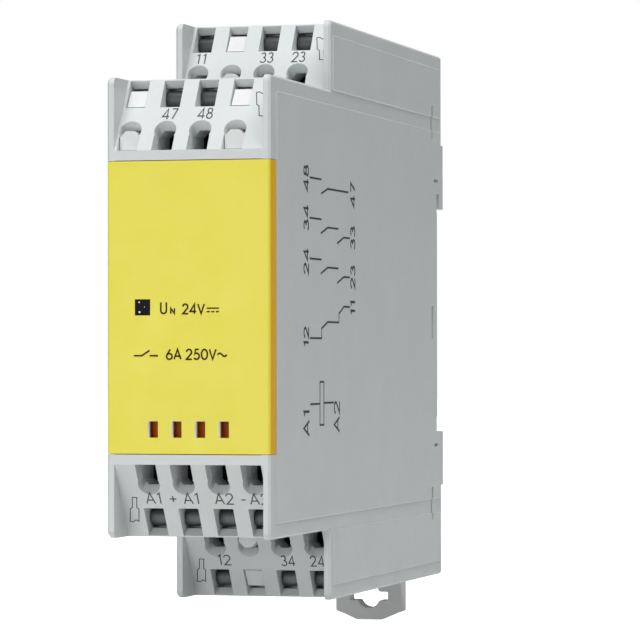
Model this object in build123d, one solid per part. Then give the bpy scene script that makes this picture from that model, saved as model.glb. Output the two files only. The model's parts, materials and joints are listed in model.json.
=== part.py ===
"""Slim rail-mounted safety relay: stepped housing, push-in terminals, rail foot, guided-contact relay.

Millimetres. X is the width, +Y points to the back (towards the rail), +Z is up.
The origin is the centre of the rail seat face. Every piece is written to parts/NODE.step.
"""
import math
import os

from build123d import *

# Overall sizes
WIDTH = 22.5
FRONT_TIER_HEIGHT = 60.0
REAR_TIER_HEIGHT = 79.2
SEAT_DEPTH = 91.0
TIER_STEP = 29.6
REAR_FACE = 3.6
REAR_PAD_FACE = 4.6
REAR_PAD_TOP = 26.0

# Shell walls and surface relief
WALL = 1.3
RIM = 1.15
PANEL_RISE = 0.2
PANEL_CHAMFER = 0.15
BAND = 2.0
REAR_BAND = 1.0
FRONT_BAND = 2.65
EDGE_ROUND = 1.0
SMALL_ROUND = 0.4
CORNER_CHAMFER = 0.3

# Rail seat, for a 35 mm top-hat rail
RAIL_HEIGHT = 35.0
RAIL_THICKNESS = 1.0
RAIL_TOP_GAP = 0.9
RAIL_BOTTOM_GAP = 0.3
RAIL_FACE_GAP = 0.3
RECESS_TOP = RAIL_HEIGHT / 2 + RAIL_TOP_GAP
RECESS_BOTTOM = -RAIL_HEIGHT / 2 - RAIL_BOTTOM_GAP
HOOK_GAP = RAIL_THICKNESS + RAIL_FACE_GAP
HOOK_DROP = 2.2
HOOK_TAPER = 0.5
SEAT_END = 2.0
SEAT_HALF = RAIL_HEIGHT / 2 - SEAT_END
SEAT_RELIEF = 0.3

# Terminal fields, measured outward from the label edge and back from the tier's front plane
FIELD_HEIGHT = 9.6
FIELD_BACK = 8.0
LABEL_BAND = 1.3
SLOPE_DEPTH = 6.0
COLUMNS = 4
COLUMN_MARGINS = 3.5
COLUMN_PITCH = (WIDTH - COLUMN_MARGINS) / COLUMNS
COLUMN_OFFSET = -1.25
ENTRY_WEB = 1.95
ENTRY_WIDTH = COLUMN_PITCH - ENTRY_WEB
ENTRY_START = 1.3
ENTRY_END = 4.0
ENTRY_CORNER = 0.8
ENTRY_CENTRE = 2.6
FUNNEL_FLARE = 0.1
FUNNEL_RADIUS = ENTRY_WIDTH / 2 + FUNNEL_FLARE
FUNNEL_LENGTH = 5.6
FUNNEL_TILT = 45.0
FUNNEL_ROOT = 3.0
SLOT_WEB = 2.05
SLOT_WIDTH = COLUMN_PITCH - SLOT_WEB
SLOT_START = 7.1
SLOT_END = 9.8
RAMP_BACK = 7.0
RAMP_END = 10.75
THROUGH = 1.0

# Front cover
COVER_THICKNESS = 2.65
COVER_PLATE = 1.2
COVER_GAP = 0.05
COVER_LABEL_GAP = 0.1
WINDOW = 2.0
WINDOW_X = -6.2
WINDOW_GAP = 0.05
VENT_WIDTH = 1.4
VENT_HEIGHT = 2.2
VENT_PITCH = 3.2
VENT_COUNT = 4
VENT_EDGE = 3.2
COVER_HOOK_EDGE = 6.0
COVER_HOOK_WIDTH = 5.0
COVER_HOOK_DEPTH = 3.5
COVER_HOOK_THICKNESS = 0.9

# Blanking plugs
PLUG_GAP = 0.1
PLUG_SET_BACK = 0.45
PLUG_TOP_GAP = 0.4
PLUG_BRIDGE = 1.0

# Terminal carriers, clamp springs and contact bars
CARRIER_BACK = 26.0
CARRIER_GAP = 0.05
CARRIER_START = 0.2
CARRIER_END = 9.5
CAVITY_WEB = 1.35
CAVITY_WIDTH = COLUMN_PITCH - CAVITY_WEB
CAVITY_START = 1.5
CAVITY_BACK = 24.0
SPRING_SIDE_GAP = 0.5
SPRING_WIDTH = CAVITY_WIDTH - 2 * SPRING_SIDE_GAP
SPRING_THICKNESS = 0.4
BOW_RADIUS = 1.15
BOW_DEPTH = 7.2
BOW_GAP = 0.05
BOW_RUN = 1.2
CLAMP_ANGLE = 32.0
CLAMP_GAP = 0.14
HOLD_LEG_END = 21.8
BAR_SIDE_GAP = 0.6
BAR_WIDTH = CAVITY_WIDTH - 2 * BAR_SIDE_GAP
BAR_THICKNESS = 0.6
BAR_FRONT = 9.2
BAR_BACK_LEG = 22.2
BAR_BACK_LEG_TOP = 8.3
BAR_RUN_WIDTH = 1.6
BAR_FIRST_RUN = 1.0
BAR_RUN_PITCH = 2.5
BAR_LEG = 3.6
BAR_LEG_THICKNESS = 0.5

# Circuit board
BOARD_SIDE_GAP = 0.65
BOARD_THICKNESS = 1.6
BOARD_SET_BACK = 6.4
BOARD_BACK = -6.0
BOARD_COVER_GAP = 0.2
BOARD_WALL_GAP = 0.3
BOARD_REACH = 1.0

# Snaps between rear base and shell
SNAP_Y = -3.0
SNAP_WIDTH = 1.0
SNAP_HEIGHT = 5.0
SNAP_TOP_SET_IN = 10.4
SNAP_MIDDLE = -1.2
SNAP_BOTTOM_SET_IN = 11.0
SNAP_GAP = 0.1
SNAP_SET_BACK = 0.8
NOTCH_Y = -0.5
NOTCH_LENGTH = 2.6
NOTCH_HEIGHT = 0.45
NOTCH_DEPTH = 0.6
NOTCH_GAP = 2.0
BASE_FRONT = -4.6
BASE_GAP = 0.05

# Rail foot
FOOT_FRONT = 1.6
FOOT_THICKNESS = 2.9
FOOT_WIDTH = 10.4
FOOT_FLANGE_WIDTH = 12.6
FOOT_FLANGE_THICKNESS = 1.1
FOOT_CATCH_TOP = -16.3
FOOT_BOTTOM = -46.7
FOOT_SHOULDER = -45.4
FOOT_HIP = -45.8
FOOT_TRAVEL = 3.0
FOOT_GAP = 0.1
FOOT_FLOOR = 1.9
FOOT_HOLE_RADIUS = 1.8
FOOT_HOLE_Z = -43.1
FOOT_SLOT_LENGTH = 6.0
FOOT_SLOT_HEIGHT = 1.3
FOOT_HIP_WIDTH = 8.0
FOOT_TIP_WIDTH = 3.8
FOOT_WINDOW_TOP = -24.0
FOOT_WINDOW_BOTTOM = -34.2
FOOT_WINDOW_WIDTH = 3.4
POST_HEIGHT = 1.8
FOOT_FLANGE_TOP = -20.5
FOOT_FLANGE_BOTTOM = -35.8
COIL_RADIUS = 1.0
COIL_WIRE = 0.2
COIL_TURNS = 4
COIL_SIDES = 4

# Guided-contact relay on the board
RELAY_SET_BACK = 46.5
RELAY_COIL_GAP = 1.6
RELAY_END_GAP = 1.7
RELAY_BASE_THICKNESS = 1.8
RELAY_SIDE_GAP = 1.45
RELAY_WALL = 0.7
YOKE_END_GAP = 0.5
YOKE_BASE_GAP = 0.1
COIL_CARD_GAP = 0.4
FLANGE_RIM = 0.4
FLANGE_THICKNESS = 0.9
BOBBIN_END = -4.6
TUBE_WALL = 0.6
CORE_TRIM = 0.6
WINDING_ROUND = 2.0
YOKE_THICKNESS = 1.4
POLE_FACE = -3.4
ARMATURE_BACK = -2.5
ARMATURE_THICKNESS = 1.3
ARMATURE_SIDE = 0.4
ARMATURE_FINGER = 2.4
CARD_HEADROOM = 0.5
CARD_THICKNESS = 0.9
CARD_WIDTH = 5.4
CARD_START = -4.0
CARD_OVERHANG = 2.7
CARD_GAP = 0.1
BLADE_THICKNESS = 0.3
BLADE_WIDTH = 3.5
BLADE_TIP = 0.55
BLADE_ROOT_DEPTH = 0.4
BLADE_GAP = 0.1
CONTACT_DROP = 2.2
CONTACT_RADIUS = 1.1
CONTACT_HEIGHT = 0.4
OPEN_GAP = 0.92
CLOSED_GAP = 0.03
FIXED_THICKNESS = 0.5
FIXED_DROP = 0.8
FIRST_BLADE = 3.5
BLADE_END_GAP = 5.5
MAKE_CONTACTS = 3
CHAMBER_WALL = 0.6
CHAMBER_WALL_DROP = 0.5
CHAMBER_WALL_OFFSET = 0.9
PIN_WIDTH = 0.8
PIN_THICKNESS = 0.4
PIN_STICK_OUT = 0.3

# Small board parts
LED_SIZE = 1.6
LED_SET_BACK = 0.2
DIODE = (2.3, 4.6, 3.0)
DIODE_SET_BACK = 15.0
DIODE_Z = -8.0
CAPACITOR_RADIUS = 3.15
CAPACITOR_LENGTH = 11.0
CAPACITOR_SET_BACK = 21.0
CAPACITOR_Z = 6.0

# Derived planes
HALF = WIDTH / 2
SIDE = HALF - PANEL_RISE
INNER = HALF - WALL
FRONT = -SEAT_DEPTH
REAR_TIER_FRONT = FRONT + TIER_STEP
FRONT_HALF = FRONT_TIER_HEIGHT / 2
REAR_HALF = REAR_TIER_HEIGHT / 2
FRONT_LABEL_EDGE = FRONT_HALF - WALL - FIELD_HEIGHT
REAR_LABEL_EDGE = REAR_HALF - WALL - FIELD_HEIGHT
FIELD_OUTER = FIELD_HEIGHT + WALL
COVER_HALF = FRONT_LABEL_EDGE - COVER_LABEL_GAP
VENT_Z = VENT_EDGE - COVER_HALF
COVER_HOOK_Z = COVER_HALF - COVER_HOOK_EDGE
NOTCH_ZS = (RECESS_TOP + NOTCH_GAP, RECESS_BOTTOM - NOTCH_GAP)
SNAP_ZS = (REAR_HALF - SNAP_TOP_SET_IN, SNAP_MIDDLE, SNAP_BOTTOM_SET_IN - REAR_HALF)
BOW_HEIGHT = SLOT_START + BOW_GAP + BOW_RADIUS

# Derived places of the board and its small parts
BOARD_X = BOARD_SIDE_GAP - INNER
BOARD_FACE = BOARD_X + BOARD_THICKNESS
BOARD_FRONT = FRONT + BOARD_SET_BACK
BOARD_FRONT_HALF = COVER_HALF - BOARD_COVER_GAP
BOARD_MID_HALF = FRONT_HALF - WALL - BOARD_WALL_GAP
BOARD_REAR_HALF = REAR_LABEL_EDGE + BOARD_REACH
LED_FRONT = BOARD_FRONT + LED_SET_BACK
DIODE_Y = FRONT + DIODE_SET_BACK
CAPACITOR_Y = FRONT + CAPACITOR_SET_BACK

# Derived places inside the guided-contact relay
RELAY_Y = FRONT + RELAY_SET_BACK
RELAY_HALF_LENGTH = REAR_LABEL_EDGE - RELAY_END_GAP
RELAY_BASE_TOP = BOARD_FACE + RELAY_BASE_THICKNESS
RELAY_TOP = INNER - RELAY_SIDE_GAP
CARD_BOTTOM = RELAY_TOP - RELAY_WALL - CARD_HEADROOM - CARD_THICKNESS
YOKE_BOTTOM = RELAY_BASE_TOP + YOKE_BASE_GAP
YOKE_TOP = YOKE_BOTTOM + YOKE_THICKNESS
FLANGE_SIZE = CARD_BOTTOM - COIL_CARD_GAP - YOKE_TOP
COIL_X = YOKE_TOP + FLANGE_SIZE / 2
WINDING_SIZE = FLANGE_SIZE - 2 * FLANGE_RIM
CORE_SIZE = WINDING_SIZE / 2 - CORE_TRIM
TUBE_SIZE = CORE_SIZE + 2 * TUBE_WALL
YOKE_WIDTH = FLANGE_SIZE
ARMATURE_WIDTH = YOKE_WIDTH - 2 * ARMATURE_SIDE
RELAY_WIDTH = FLANGE_SIZE + 2 * (RELAY_WALL + RELAY_COIL_GAP)
RELAY_FRONT = RELAY_Y - RELAY_WIDTH / 2
RELAY_BACK = RELAY_Y + RELAY_WIDTH / 2
BOBBIN_START = RELAY_WALL + YOKE_END_GAP + YOKE_THICKNESS - RELAY_HALF_LENGTH
BLADE_PITCH = (RELAY_HALF_LENGTH - BLADE_END_GAP - FIRST_BLADE) / MAKE_CONTACTS
BLADE_ROOT = RELAY_BASE_TOP - BLADE_ROOT_DEPTH
BLADE_TOP = CARD_BOTTOM + BLADE_TIP
CARD_END = FIRST_BLADE + MAKE_CONTACTS * BLADE_PITCH + CARD_OVERHANG
CONTACT_X = CARD_BOTTOM - CONTACT_DROP
FIXED_TOP = CARD_BOTTOM - FIXED_DROP
CHAMBER_WALL_TOP = CARD_BOTTOM - CHAMBER_WALL_DROP

# Terminal fields: name, front plane, label edge, side (+1 upper, -1 lower), label of each column
FIELDS = (
    ("upper_front", FRONT, FRONT_LABEL_EDGE, 1, (None, "47", "48", None)),
    ("upper_rear", REAR_TIER_FRONT, REAR_LABEL_EDGE, 1, ("11", None, "33", "23")),
    ("lower_front", FRONT, FRONT_LABEL_EDGE, -1, ("a2_outer", "a2_inner", "a1_inner", "a1_outer")),
    ("lower_rear", REAR_TIER_FRONT, REAR_LABEL_EDGE, -1, ("24", "34", None, "12")),
)


def block(x0, x1, y0, y1, z0, z1):
    """Return a box between two corners."""
    centre = Pos((x0 + x1) / 2, (y0 + y1) / 2, (z0 + z1) / 2)
    return centre * Box(abs(x1 - x0), abs(y1 - y0), abs(z1 - z0))


def prism_x(points, x0, x1):
    """Return a polygon of (y, z) points drawn out from x0 to x1."""
    outline = Polyline(*[(x0, y, z) for y, z in points], close=True)
    return extrude(make_face(outline), amount=x1 - x0, dir=(1, 0, 0))


def prism_y(points, y0, y1):
    """Return a polygon of (x, z) points drawn out from y0 to y1."""
    outline = Polyline(*[(x, y0, z) for x, z in points], close=True)
    return extrude(make_face(outline), amount=y1 - y0, dir=(0, 1, 0))


def rod(centre, direction, radius, length):
    """Return a cylinder that starts at a point and runs along a direction."""
    plane = Plane(origin=centre, z_dir=direction)
    return plane * Cylinder(radius, length, align=(Align.CENTER, Align.CENTER, Align.MIN))


def to_side(shape, side):
    """Turn a piece built for the upper field into the lower field when side is -1."""
    if side > 0:
        return shape
    return Rot(0, 180, 0) * shape


def column_x(index):
    """Return the X of a terminal column in the upper orientation."""
    middle = (COLUMNS - 1) / 2
    return COLUMN_OFFSET + (index - middle) * COLUMN_PITCH


def tilted_axis(angle):
    """Return the direction of a funnel that opens forward and outward."""
    lean = math.radians(angle)
    return (0, -math.cos(lean), math.sin(lean))


def entry_outline(x, edge, gap):
    """Return the (x, z) outline of one conductor entry, drawn in by a gap all round."""
    half = ENTRY_WIDTH / 2 - gap
    low = edge + ENTRY_START + gap
    high = edge + ENTRY_END - gap
    return [
        (x - half, low),
        (x + half, low),
        (x + half, high - ENTRY_CORNER),
        (x + half - ENTRY_CORNER, high),
        (x - half + ENTRY_CORNER, high),
        (x - half, high - ENTRY_CORNER),
    ]


def entry_cut(x, front, edge):
    """Return the conductor entry of one column: shaft with cut corners and a tilted round funnel."""
    back = front + FIELD_BACK + THROUGH
    start = front - THROUGH
    shaft = prism_y(entry_outline(x, edge, 0), start, back)
    root = (x, front + FUNNEL_ROOT, edge + ENTRY_CENTRE)
    funnel = rod(root, tilted_axis(FUNNEL_TILT), FUNNEL_RADIUS, FUNNEL_LENGTH)
    lower = block(x - HALF, x + HALF, start - FUNNEL_LENGTH, back, edge, edge + ENTRY_START)
    return shaft + (funnel - lower)


def slot_cut(x, front, edge):
    """Return the release slot of one column with the ramp towards the tier's edge."""
    half = SLOT_WIDTH / 2
    shaft = block(
        x - half,
        x + half,
        front - THROUGH,
        front + FIELD_BACK + THROUGH,
        edge + SLOT_START,
        edge + SLOT_END,
    )
    ramp = prism_x(
        [
            (front, edge + SLOT_END),
            (front + RAMP_BACK, edge + SLOT_END),
            (front + slope_at(RAMP_END), edge + RAMP_END),
            (front, edge + RAMP_END),
        ],
        x - half,
        x + half,
    )
    return shaft + ramp


def slope_at(outward):
    """Return how far the sloped face lies behind the tier's front plane."""
    return (outward - LABEL_BAND) / (FIELD_OUTER - LABEL_BAND) * SLOPE_DEPTH


def field_cut(front, edge):
    """Return everything cut from one solid terminal field in the upper orientation."""
    inner = HALF - RIM
    outer = FIELD_OUTER + THROUGH
    slope = prism_x(
        [
            (front - THROUGH, edge + LABEL_BAND),
            (front, edge + LABEL_BAND),
            (front + slope_at(outer), edge + outer),
            (front - THROUGH, edge + outer),
        ],
        -inner,
        inner,
    )
    cut = slope
    for index in range(COLUMNS):
        x = column_x(index)
        cut = cut + entry_cut(x, front, edge) + slot_cut(x, front, edge)
    return cut


def rear_profile(reach):
    """Return the outline of the rail recess: raised seat, flange pockets and tapered hook lip."""
    return [
        (-SEAT_RELIEF, RECESS_BOTTOM),
        (reach, RECESS_BOTTOM),
        (reach, RECESS_TOP - HOOK_DROP),
        (HOOK_GAP + HOOK_TAPER, RECESS_TOP - HOOK_DROP),
        (HOOK_GAP, RECESS_TOP - HOOK_DROP + HOOK_TAPER),
        (HOOK_GAP, RECESS_TOP),
        (-SEAT_RELIEF, RECESS_TOP),
        (-SEAT_RELIEF, SEAT_HALF),
        (0, SEAT_HALF),
        (0, -SEAT_HALF),
        (-SEAT_RELIEF, -SEAT_HALF),
    ]


def body_profile():
    """Return the (y, z) outline of the stepped body."""
    upper = [
        (FRONT, FRONT_HALF),
        (REAR_TIER_FRONT, FRONT_HALF),
        (REAR_TIER_FRONT, REAR_HALF),
        (REAR_FACE, REAR_HALF),
        (REAR_FACE, REAR_PAD_TOP),
        (REAR_PAD_FACE, REAR_PAD_TOP),
    ]
    lower = [(y, -z) for y, z in reversed(upper)]
    return upper + lower


def panel(y0, y1, z0, z1):
    """Return the shallow raised panel of both side faces, with chamfered edges."""
    pair = Part()
    for side in (-1, 1):
        slab = block(side * (SIDE - PANEL_RISE), side * HALF, y0, y1, z0, z1)
        outer = slab.faces().sort_by(Axis.X)[-1 if side > 0 else 0]
        pair = pair + chamfer(outer.edges(), PANEL_CHAMFER)
    return pair


def make_shell():
    """Return the stepped housing moulding."""
    body = prism_x(body_profile(), -SIDE, SIDE)
    corners = body.edges().filter_by(Axis.X)
    rounded = [
        edge
        for edge in corners
        if abs(edge.center().Y - FRONT) < COVER_GAP
        or (abs(edge.center().Y - REAR_TIER_FRONT) < COVER_GAP and abs(edge.center().Z) > FRONT_HALF + WALL)
    ]
    body = fillet(rounded, EDGE_ROUND)
    back_edges = [
        edge for edge in body.edges().filter_by(Axis.X) if abs(abs(edge.center().Z) - REAR_HALF) < COVER_GAP
    ]
    body = fillet(back_edges, SMALL_ROUND)
    corners = [
        edge
        for edge in body.edges().filter_by(Axis.Z)
        if abs(edge.center().Y - FRONT) < COVER_GAP or abs(edge.center().Y - REAR_TIER_FRONT) < COVER_GAP
    ]
    body = chamfer(corners, CORNER_CHAMFER)
    body = body + panel(FRONT + FRONT_BAND, REAR_FACE - REAR_BAND, -FRONT_HALF + BAND, FRONT_HALF - BAND)
    for side in (-1, 1):
        body = body + panel(
            REAR_TIER_FRONT + EDGE_ROUND,
            REAR_FACE - REAR_BAND,
            side * FRONT_HALF,
            side * (REAR_HALF - BAND),
        )
    front_room = block(
        -INNER, INNER, FRONT + FIELD_BACK, REAR_PAD_FACE + THROUGH, -FRONT_HALF + WALL, FRONT_HALF - WALL
    )
    cover_room = block(
        -INNER, INNER, FRONT - THROUGH, FRONT + FIELD_BACK, -FRONT_LABEL_EDGE, FRONT_LABEL_EDGE
    )
    rear_room = block(
        -INNER,
        INNER,
        REAR_TIER_FRONT + FIELD_BACK,
        REAR_PAD_FACE + THROUGH,
        -REAR_HALF + WALL,
        REAR_HALF - WALL,
    )
    body = body - front_room - cover_room - rear_room
    cover_seat = block(
        -HALF - THROUGH,
        HALF + THROUGH,
        FRONT - THROUGH,
        FRONT + COVER_THICKNESS + COVER_GAP,
        -COVER_HALF - COVER_GAP,
        COVER_HALF + COVER_GAP,
    )
    body = body - cover_seat
    body = body - prism_x(rear_profile(REAR_PAD_FACE + THROUGH), -HALF - THROUGH, HALF + THROUGH)
    for front, edge in ((FRONT, FRONT_LABEL_EDGE), (REAR_TIER_FRONT, REAR_LABEL_EDGE)):
        cut = field_cut(front, edge)
        body = body - cut - to_side(cut, -1)
    for side in (-1, 1):
        for z in NOTCH_ZS:
            body = body - block(
                side * (HALF - NOTCH_DEPTH),
                side * (HALF + THROUGH),
                NOTCH_Y - NOTCH_LENGTH / 2,
                NOTCH_Y + NOTCH_LENGTH / 2,
                z - NOTCH_HEIGHT / 2,
                z + NOTCH_HEIGHT / 2,
            )
    for z in SNAP_ZS:
        body = body - block(
            -HALF - THROUGH,
            HALF + THROUGH,
            SNAP_Y - SNAP_WIDTH / 2,
            SNAP_Y + SNAP_WIDTH / 2,
            z - SNAP_HEIGHT / 2,
            z + SNAP_HEIGHT / 2,
        )
    return body - foot_channel()


def make_rear_base():
    """Return the rear closure with rail hook, snap lugs and rail foot channel."""
    inner = INNER - BASE_GAP
    half = REAR_HALF - WALL - BASE_GAP
    upper = [
        (BASE_FRONT, half),
        (REAR_FACE, half),
        (REAR_FACE, REAR_PAD_TOP),
        (REAR_PAD_FACE, REAR_PAD_TOP),
    ]
    outline = upper + [(y, -z) for y, z in reversed(upper)]
    base = prism_x(outline, -inner, inner)
    base = base - prism_x(rear_profile(REAR_PAD_FACE + THROUGH), -HALF, HALF)
    low = FRONT_HALF - BAND
    outer_pocket = block(
        -inner + WALL, inner - WALL, BASE_FRONT + WALL, REAR_PAD_FACE + THROUGH, low, half - WALL
    )
    inner_pocket = block(
        -inner + WALL, inner - WALL, BASE_FRONT - THROUGH, FOOT_FRONT - FOOT_FLOOR, -half + WALL, -low
    )
    base = base - outer_pocket - inner_pocket
    for z in SNAP_ZS:
        lug = block(
            -HALF + SNAP_SET_BACK,
            HALF - SNAP_SET_BACK,
            SNAP_Y - SNAP_WIDTH / 2 + SNAP_GAP,
            SNAP_Y + SNAP_WIDTH / 2 - SNAP_GAP,
            z - SNAP_HEIGHT / 2 + SNAP_GAP,
            z + SNAP_HEIGHT / 2 - SNAP_GAP,
        )
        base = base + lug
    return base - foot_channel() + foot_post()


def foot_channel():
    """Return the T-shaped room in which the rail foot slides."""
    bottom = -REAR_HALF - THROUGH
    flange_half = FOOT_FLANGE_WIDTH / 2 + FOOT_GAP
    body_half = FOOT_WIDTH / 2 + FOOT_GAP
    wide = block(
        -flange_half,
        flange_half,
        FOOT_FRONT - FOOT_GAP,
        FOOT_FRONT + FOOT_FLANGE_THICKNESS + FOOT_GAP,
        FOOT_FLANGE_BOTTOM - FOOT_TRAVEL - FOOT_GAP,
        FOOT_FLANGE_TOP,
    )
    narrow = block(
        -body_half,
        body_half,
        FOOT_FRONT - FOOT_GAP,
        REAR_PAD_FACE + THROUGH,
        bottom,
        RECESS_BOTTOM + THROUGH,
    )
    return wide + narrow


def foot_post():
    """Return the post on the base that holds the lower end of the foot spring."""
    half = FOOT_WINDOW_WIDTH / 2 - FOOT_GAP
    return block(
        -half,
        half,
        FOOT_FRONT - FOOT_GAP,
        FOOT_FRONT + FOOT_THICKNESS - FOOT_GAP,
        FOOT_WINDOW_BOTTOM + FOOT_GAP,
        FOOT_WINDOW_BOTTOM + FOOT_GAP + POST_HEIGHT,
    )


def make_rail_foot():
    """Return the sliding rail foot with catch, spring window and pull tab."""
    half = FOOT_WIDTH / 2
    back = FOOT_FRONT + FOOT_THICKNESS
    hip = FOOT_HIP_WIDTH / 2
    tip = FOOT_TIP_WIDTH / 2
    outline = [
        (-half, FOOT_CATCH_TOP),
        (half, FOOT_CATCH_TOP),
        (half, FOOT_SHOULDER),
        (hip, FOOT_HIP),
        (tip, FOOT_BOTTOM),
        (-tip, FOOT_BOTTOM),
        (-hip, FOOT_HIP),
        (-half, FOOT_SHOULDER),
    ]
    foot = prism_y(outline, FOOT_FRONT, back)
    soft = [edge for edge in foot.edges().filter_by(Axis.Y) if edge.center().Z < FOOT_SHOULDER + EDGE_ROUND]
    foot = fillet(soft, SMALL_ROUND)
    flange_half = FOOT_FLANGE_WIDTH / 2
    foot = foot + block(
        -flange_half,
        flange_half,
        FOOT_FRONT,
        FOOT_FRONT + FOOT_FLANGE_THICKNESS,
        FOOT_FLANGE_BOTTOM,
        FOOT_FLANGE_TOP - FOOT_GAP,
    )
    window = block(
        -FOOT_WINDOW_WIDTH / 2,
        FOOT_WINDOW_WIDTH / 2,
        FOOT_FRONT - THROUGH,
        back + THROUGH,
        FOOT_WINDOW_BOTTOM,
        FOOT_WINDOW_TOP,
    )
    hole_start = (0, FOOT_FRONT - THROUGH, FOOT_HOLE_Z)
    hole = rod(hole_start, (0, 1, 0), FOOT_HOLE_RADIUS, FOOT_THICKNESS + 2 * THROUGH)
    driver = block(
        -FOOT_SLOT_LENGTH / 2,
        FOOT_SLOT_LENGTH / 2,
        FOOT_FRONT - THROUGH,
        back + THROUGH,
        FOOT_HOLE_Z - FOOT_SLOT_HEIGHT / 2,
        FOOT_HOLE_Z + FOOT_SLOT_HEIGHT / 2,
    )
    snap_face = prism_x(
        [
            (FOOT_FRONT + THROUGH, FOOT_CATCH_TOP),
            (back, FOOT_CATCH_TOP - FOOT_THICKNESS / 2),
            (back + THROUGH, FOOT_CATCH_TOP - FOOT_THICKNESS / 2),
            (back + THROUGH, FOOT_CATCH_TOP + THROUGH),
            (FOOT_FRONT + THROUGH, FOOT_CATCH_TOP + THROUGH),
        ],
        -HALF,
        HALF,
    )
    return foot - window - hole - driver - snap_face


def spring_ends():
    """Return the lower and upper Z of the foot spring."""
    return (FOOT_WINDOW_BOTTOM + FOOT_GAP + POST_HEIGHT, FOOT_WINDOW_TOP)


def make_foot_spring():
    """Return the compression spring that pushes the rail foot up."""
    low, high = spring_ends()
    length = high - low - 2 * COIL_WIRE
    y = FOOT_FRONT + FOOT_THICKNESS / 2
    path = Helix(pitch=length / COIL_TURNS, height=length, radius=COIL_RADIUS)
    path = Pos(0, y, low + COIL_WIRE) * path
    section = Plane(origin=path @ 0, z_dir=path % 0) * RegularPolygon(COIL_WIRE, COIL_SIDES)
    coil = sweep(section, path=path, is_frenet=True)
    ring = Cylinder(COIL_RADIUS + COIL_WIRE, COIL_WIRE) - Cylinder(COIL_RADIUS - COIL_WIRE, COIL_WIRE)
    return coil, Pos(0, y, 0) * ring


def make_front_cover():
    """Return the clip-on front cover with window opening and four slots."""
    back = FRONT + COVER_THICKNESS
    cover = block(-SIDE, SIDE, FRONT, back, -COVER_HALF, COVER_HALF)
    cover = fillet(cover.edges().filter_by(Axis.Z).group_by(Axis.Y)[0], SMALL_ROUND)
    room_half = COVER_HALF - COVER_PLATE
    cover = cover - block(-INNER, INNER, FRONT + COVER_PLATE, back + THROUGH, -room_half, room_half)
    half = WINDOW / 2 + WINDOW_GAP
    cover = cover - block(WINDOW_X - half, WINDOW_X + half, FRONT - THROUGH, back, -half, half)
    for index in range(VENT_COUNT):
        x = (index - (VENT_COUNT - 1) / 2) * VENT_PITCH
        cover = cover - block(
            x - VENT_WIDTH / 2,
            x + VENT_WIDTH / 2,
            FRONT - THROUGH,
            back,
            VENT_Z - VENT_HEIGHT / 2,
            VENT_Z + VENT_HEIGHT / 2,
        )
    for side in (-1, 1):
        for z in (-COVER_HOOK_Z, COVER_HOOK_Z):
            cover = cover + block(
                side * (INNER - COVER_GAP),
                side * (INNER - COVER_GAP - COVER_HOOK_THICKNESS),
                FRONT + COVER_PLATE,
                back + COVER_HOOK_DEPTH,
                z - COVER_HOOK_WIDTH / 2,
                z + COVER_HOOK_WIDTH / 2,
            )
    return cover


def make_light_guide():
    """Return the dark window piece that carries the lamp's light to the cover."""
    half = WINDOW / 2
    shaft = block(WINDOW_X - half, WINDOW_X + half, FRONT + COVER_GAP, LED_FRONT - COVER_GAP, -half, half)
    collar = block(
        WINDOW_X - half - SMALL_ROUND,
        WINDOW_X + half + SMALL_ROUND,
        FRONT + COVER_PLATE,
        FRONT + COVER_PLATE + SMALL_ROUND,
        -half - SMALL_ROUND,
        half + SMALL_ROUND,
    )
    return shaft + collar


def make_plug(x, front, edge):
    """Return the blanking plug of one unused column in the upper orientation."""
    back = front + FIELD_BACK
    slot_half = SLOT_WIDTH / 2 - PLUG_GAP
    slot_low = edge + SLOT_START + PLUG_GAP
    slot_high = edge + SLOT_END - PLUG_TOP_GAP
    slot_prong = prism_x(
        [
            (front + slope_at(SLOT_START) + PLUG_SET_BACK, slot_low),
            (back, slot_low),
            (back, slot_high),
            (front + slope_at(SLOT_END) + PLUG_SET_BACK, slot_high),
        ],
        x - slot_half,
        x + slot_half,
    )
    entry_half = ENTRY_WIDTH / 2 - PLUG_GAP
    entry_low = edge + ENTRY_START + PLUG_GAP
    entry_front = front + slope_at(ENTRY_CENTRE) + PLUG_SET_BACK
    entry_prong = prism_y(entry_outline(x, edge, PLUG_GAP), entry_front, back)
    bridge = block(x - entry_half, x + entry_half, back, back + PLUG_BRIDGE, entry_low, slot_high)
    return slot_prong + entry_prong + bridge


def make_carrier(front, edge, labels):
    """Return one terminal carrier in the upper orientation with its clamp cavities."""
    start = front + FIELD_BACK + CARRIER_GAP
    back = front + CARRIER_BACK
    inner = INNER - CARRIER_GAP
    carrier = block(-inner, inner, start, back, edge + CARRIER_START, edge + CARRIER_END)
    for index, label in enumerate(labels):
        x = column_x(index)
        if label is None:
            carrier = carrier - block(
                x - ENTRY_WIDTH / 2,
                x + ENTRY_WIDTH / 2,
                start - THROUGH,
                front + FIELD_BACK + PLUG_BRIDGE + CARRIER_GAP,
                edge + ENTRY_START,
                edge + SLOT_END,
            )
            continue
        carrier = carrier - block(
            x - CAVITY_WIDTH / 2,
            x + CAVITY_WIDTH / 2,
            start - THROUGH,
            front + CAVITY_BACK,
            edge + CAVITY_START,
            edge + FIELD_OUTER,
        )
        carrier = carrier - block(
            x - BAR_WIDTH / 2,
            x + BAR_WIDTH / 2,
            front + CAVITY_BACK - THROUGH,
            back + THROUGH,
            edge + CAVITY_START,
            edge + CAVITY_START + BAR_THICKNESS,
        )
    return carrier


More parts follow.
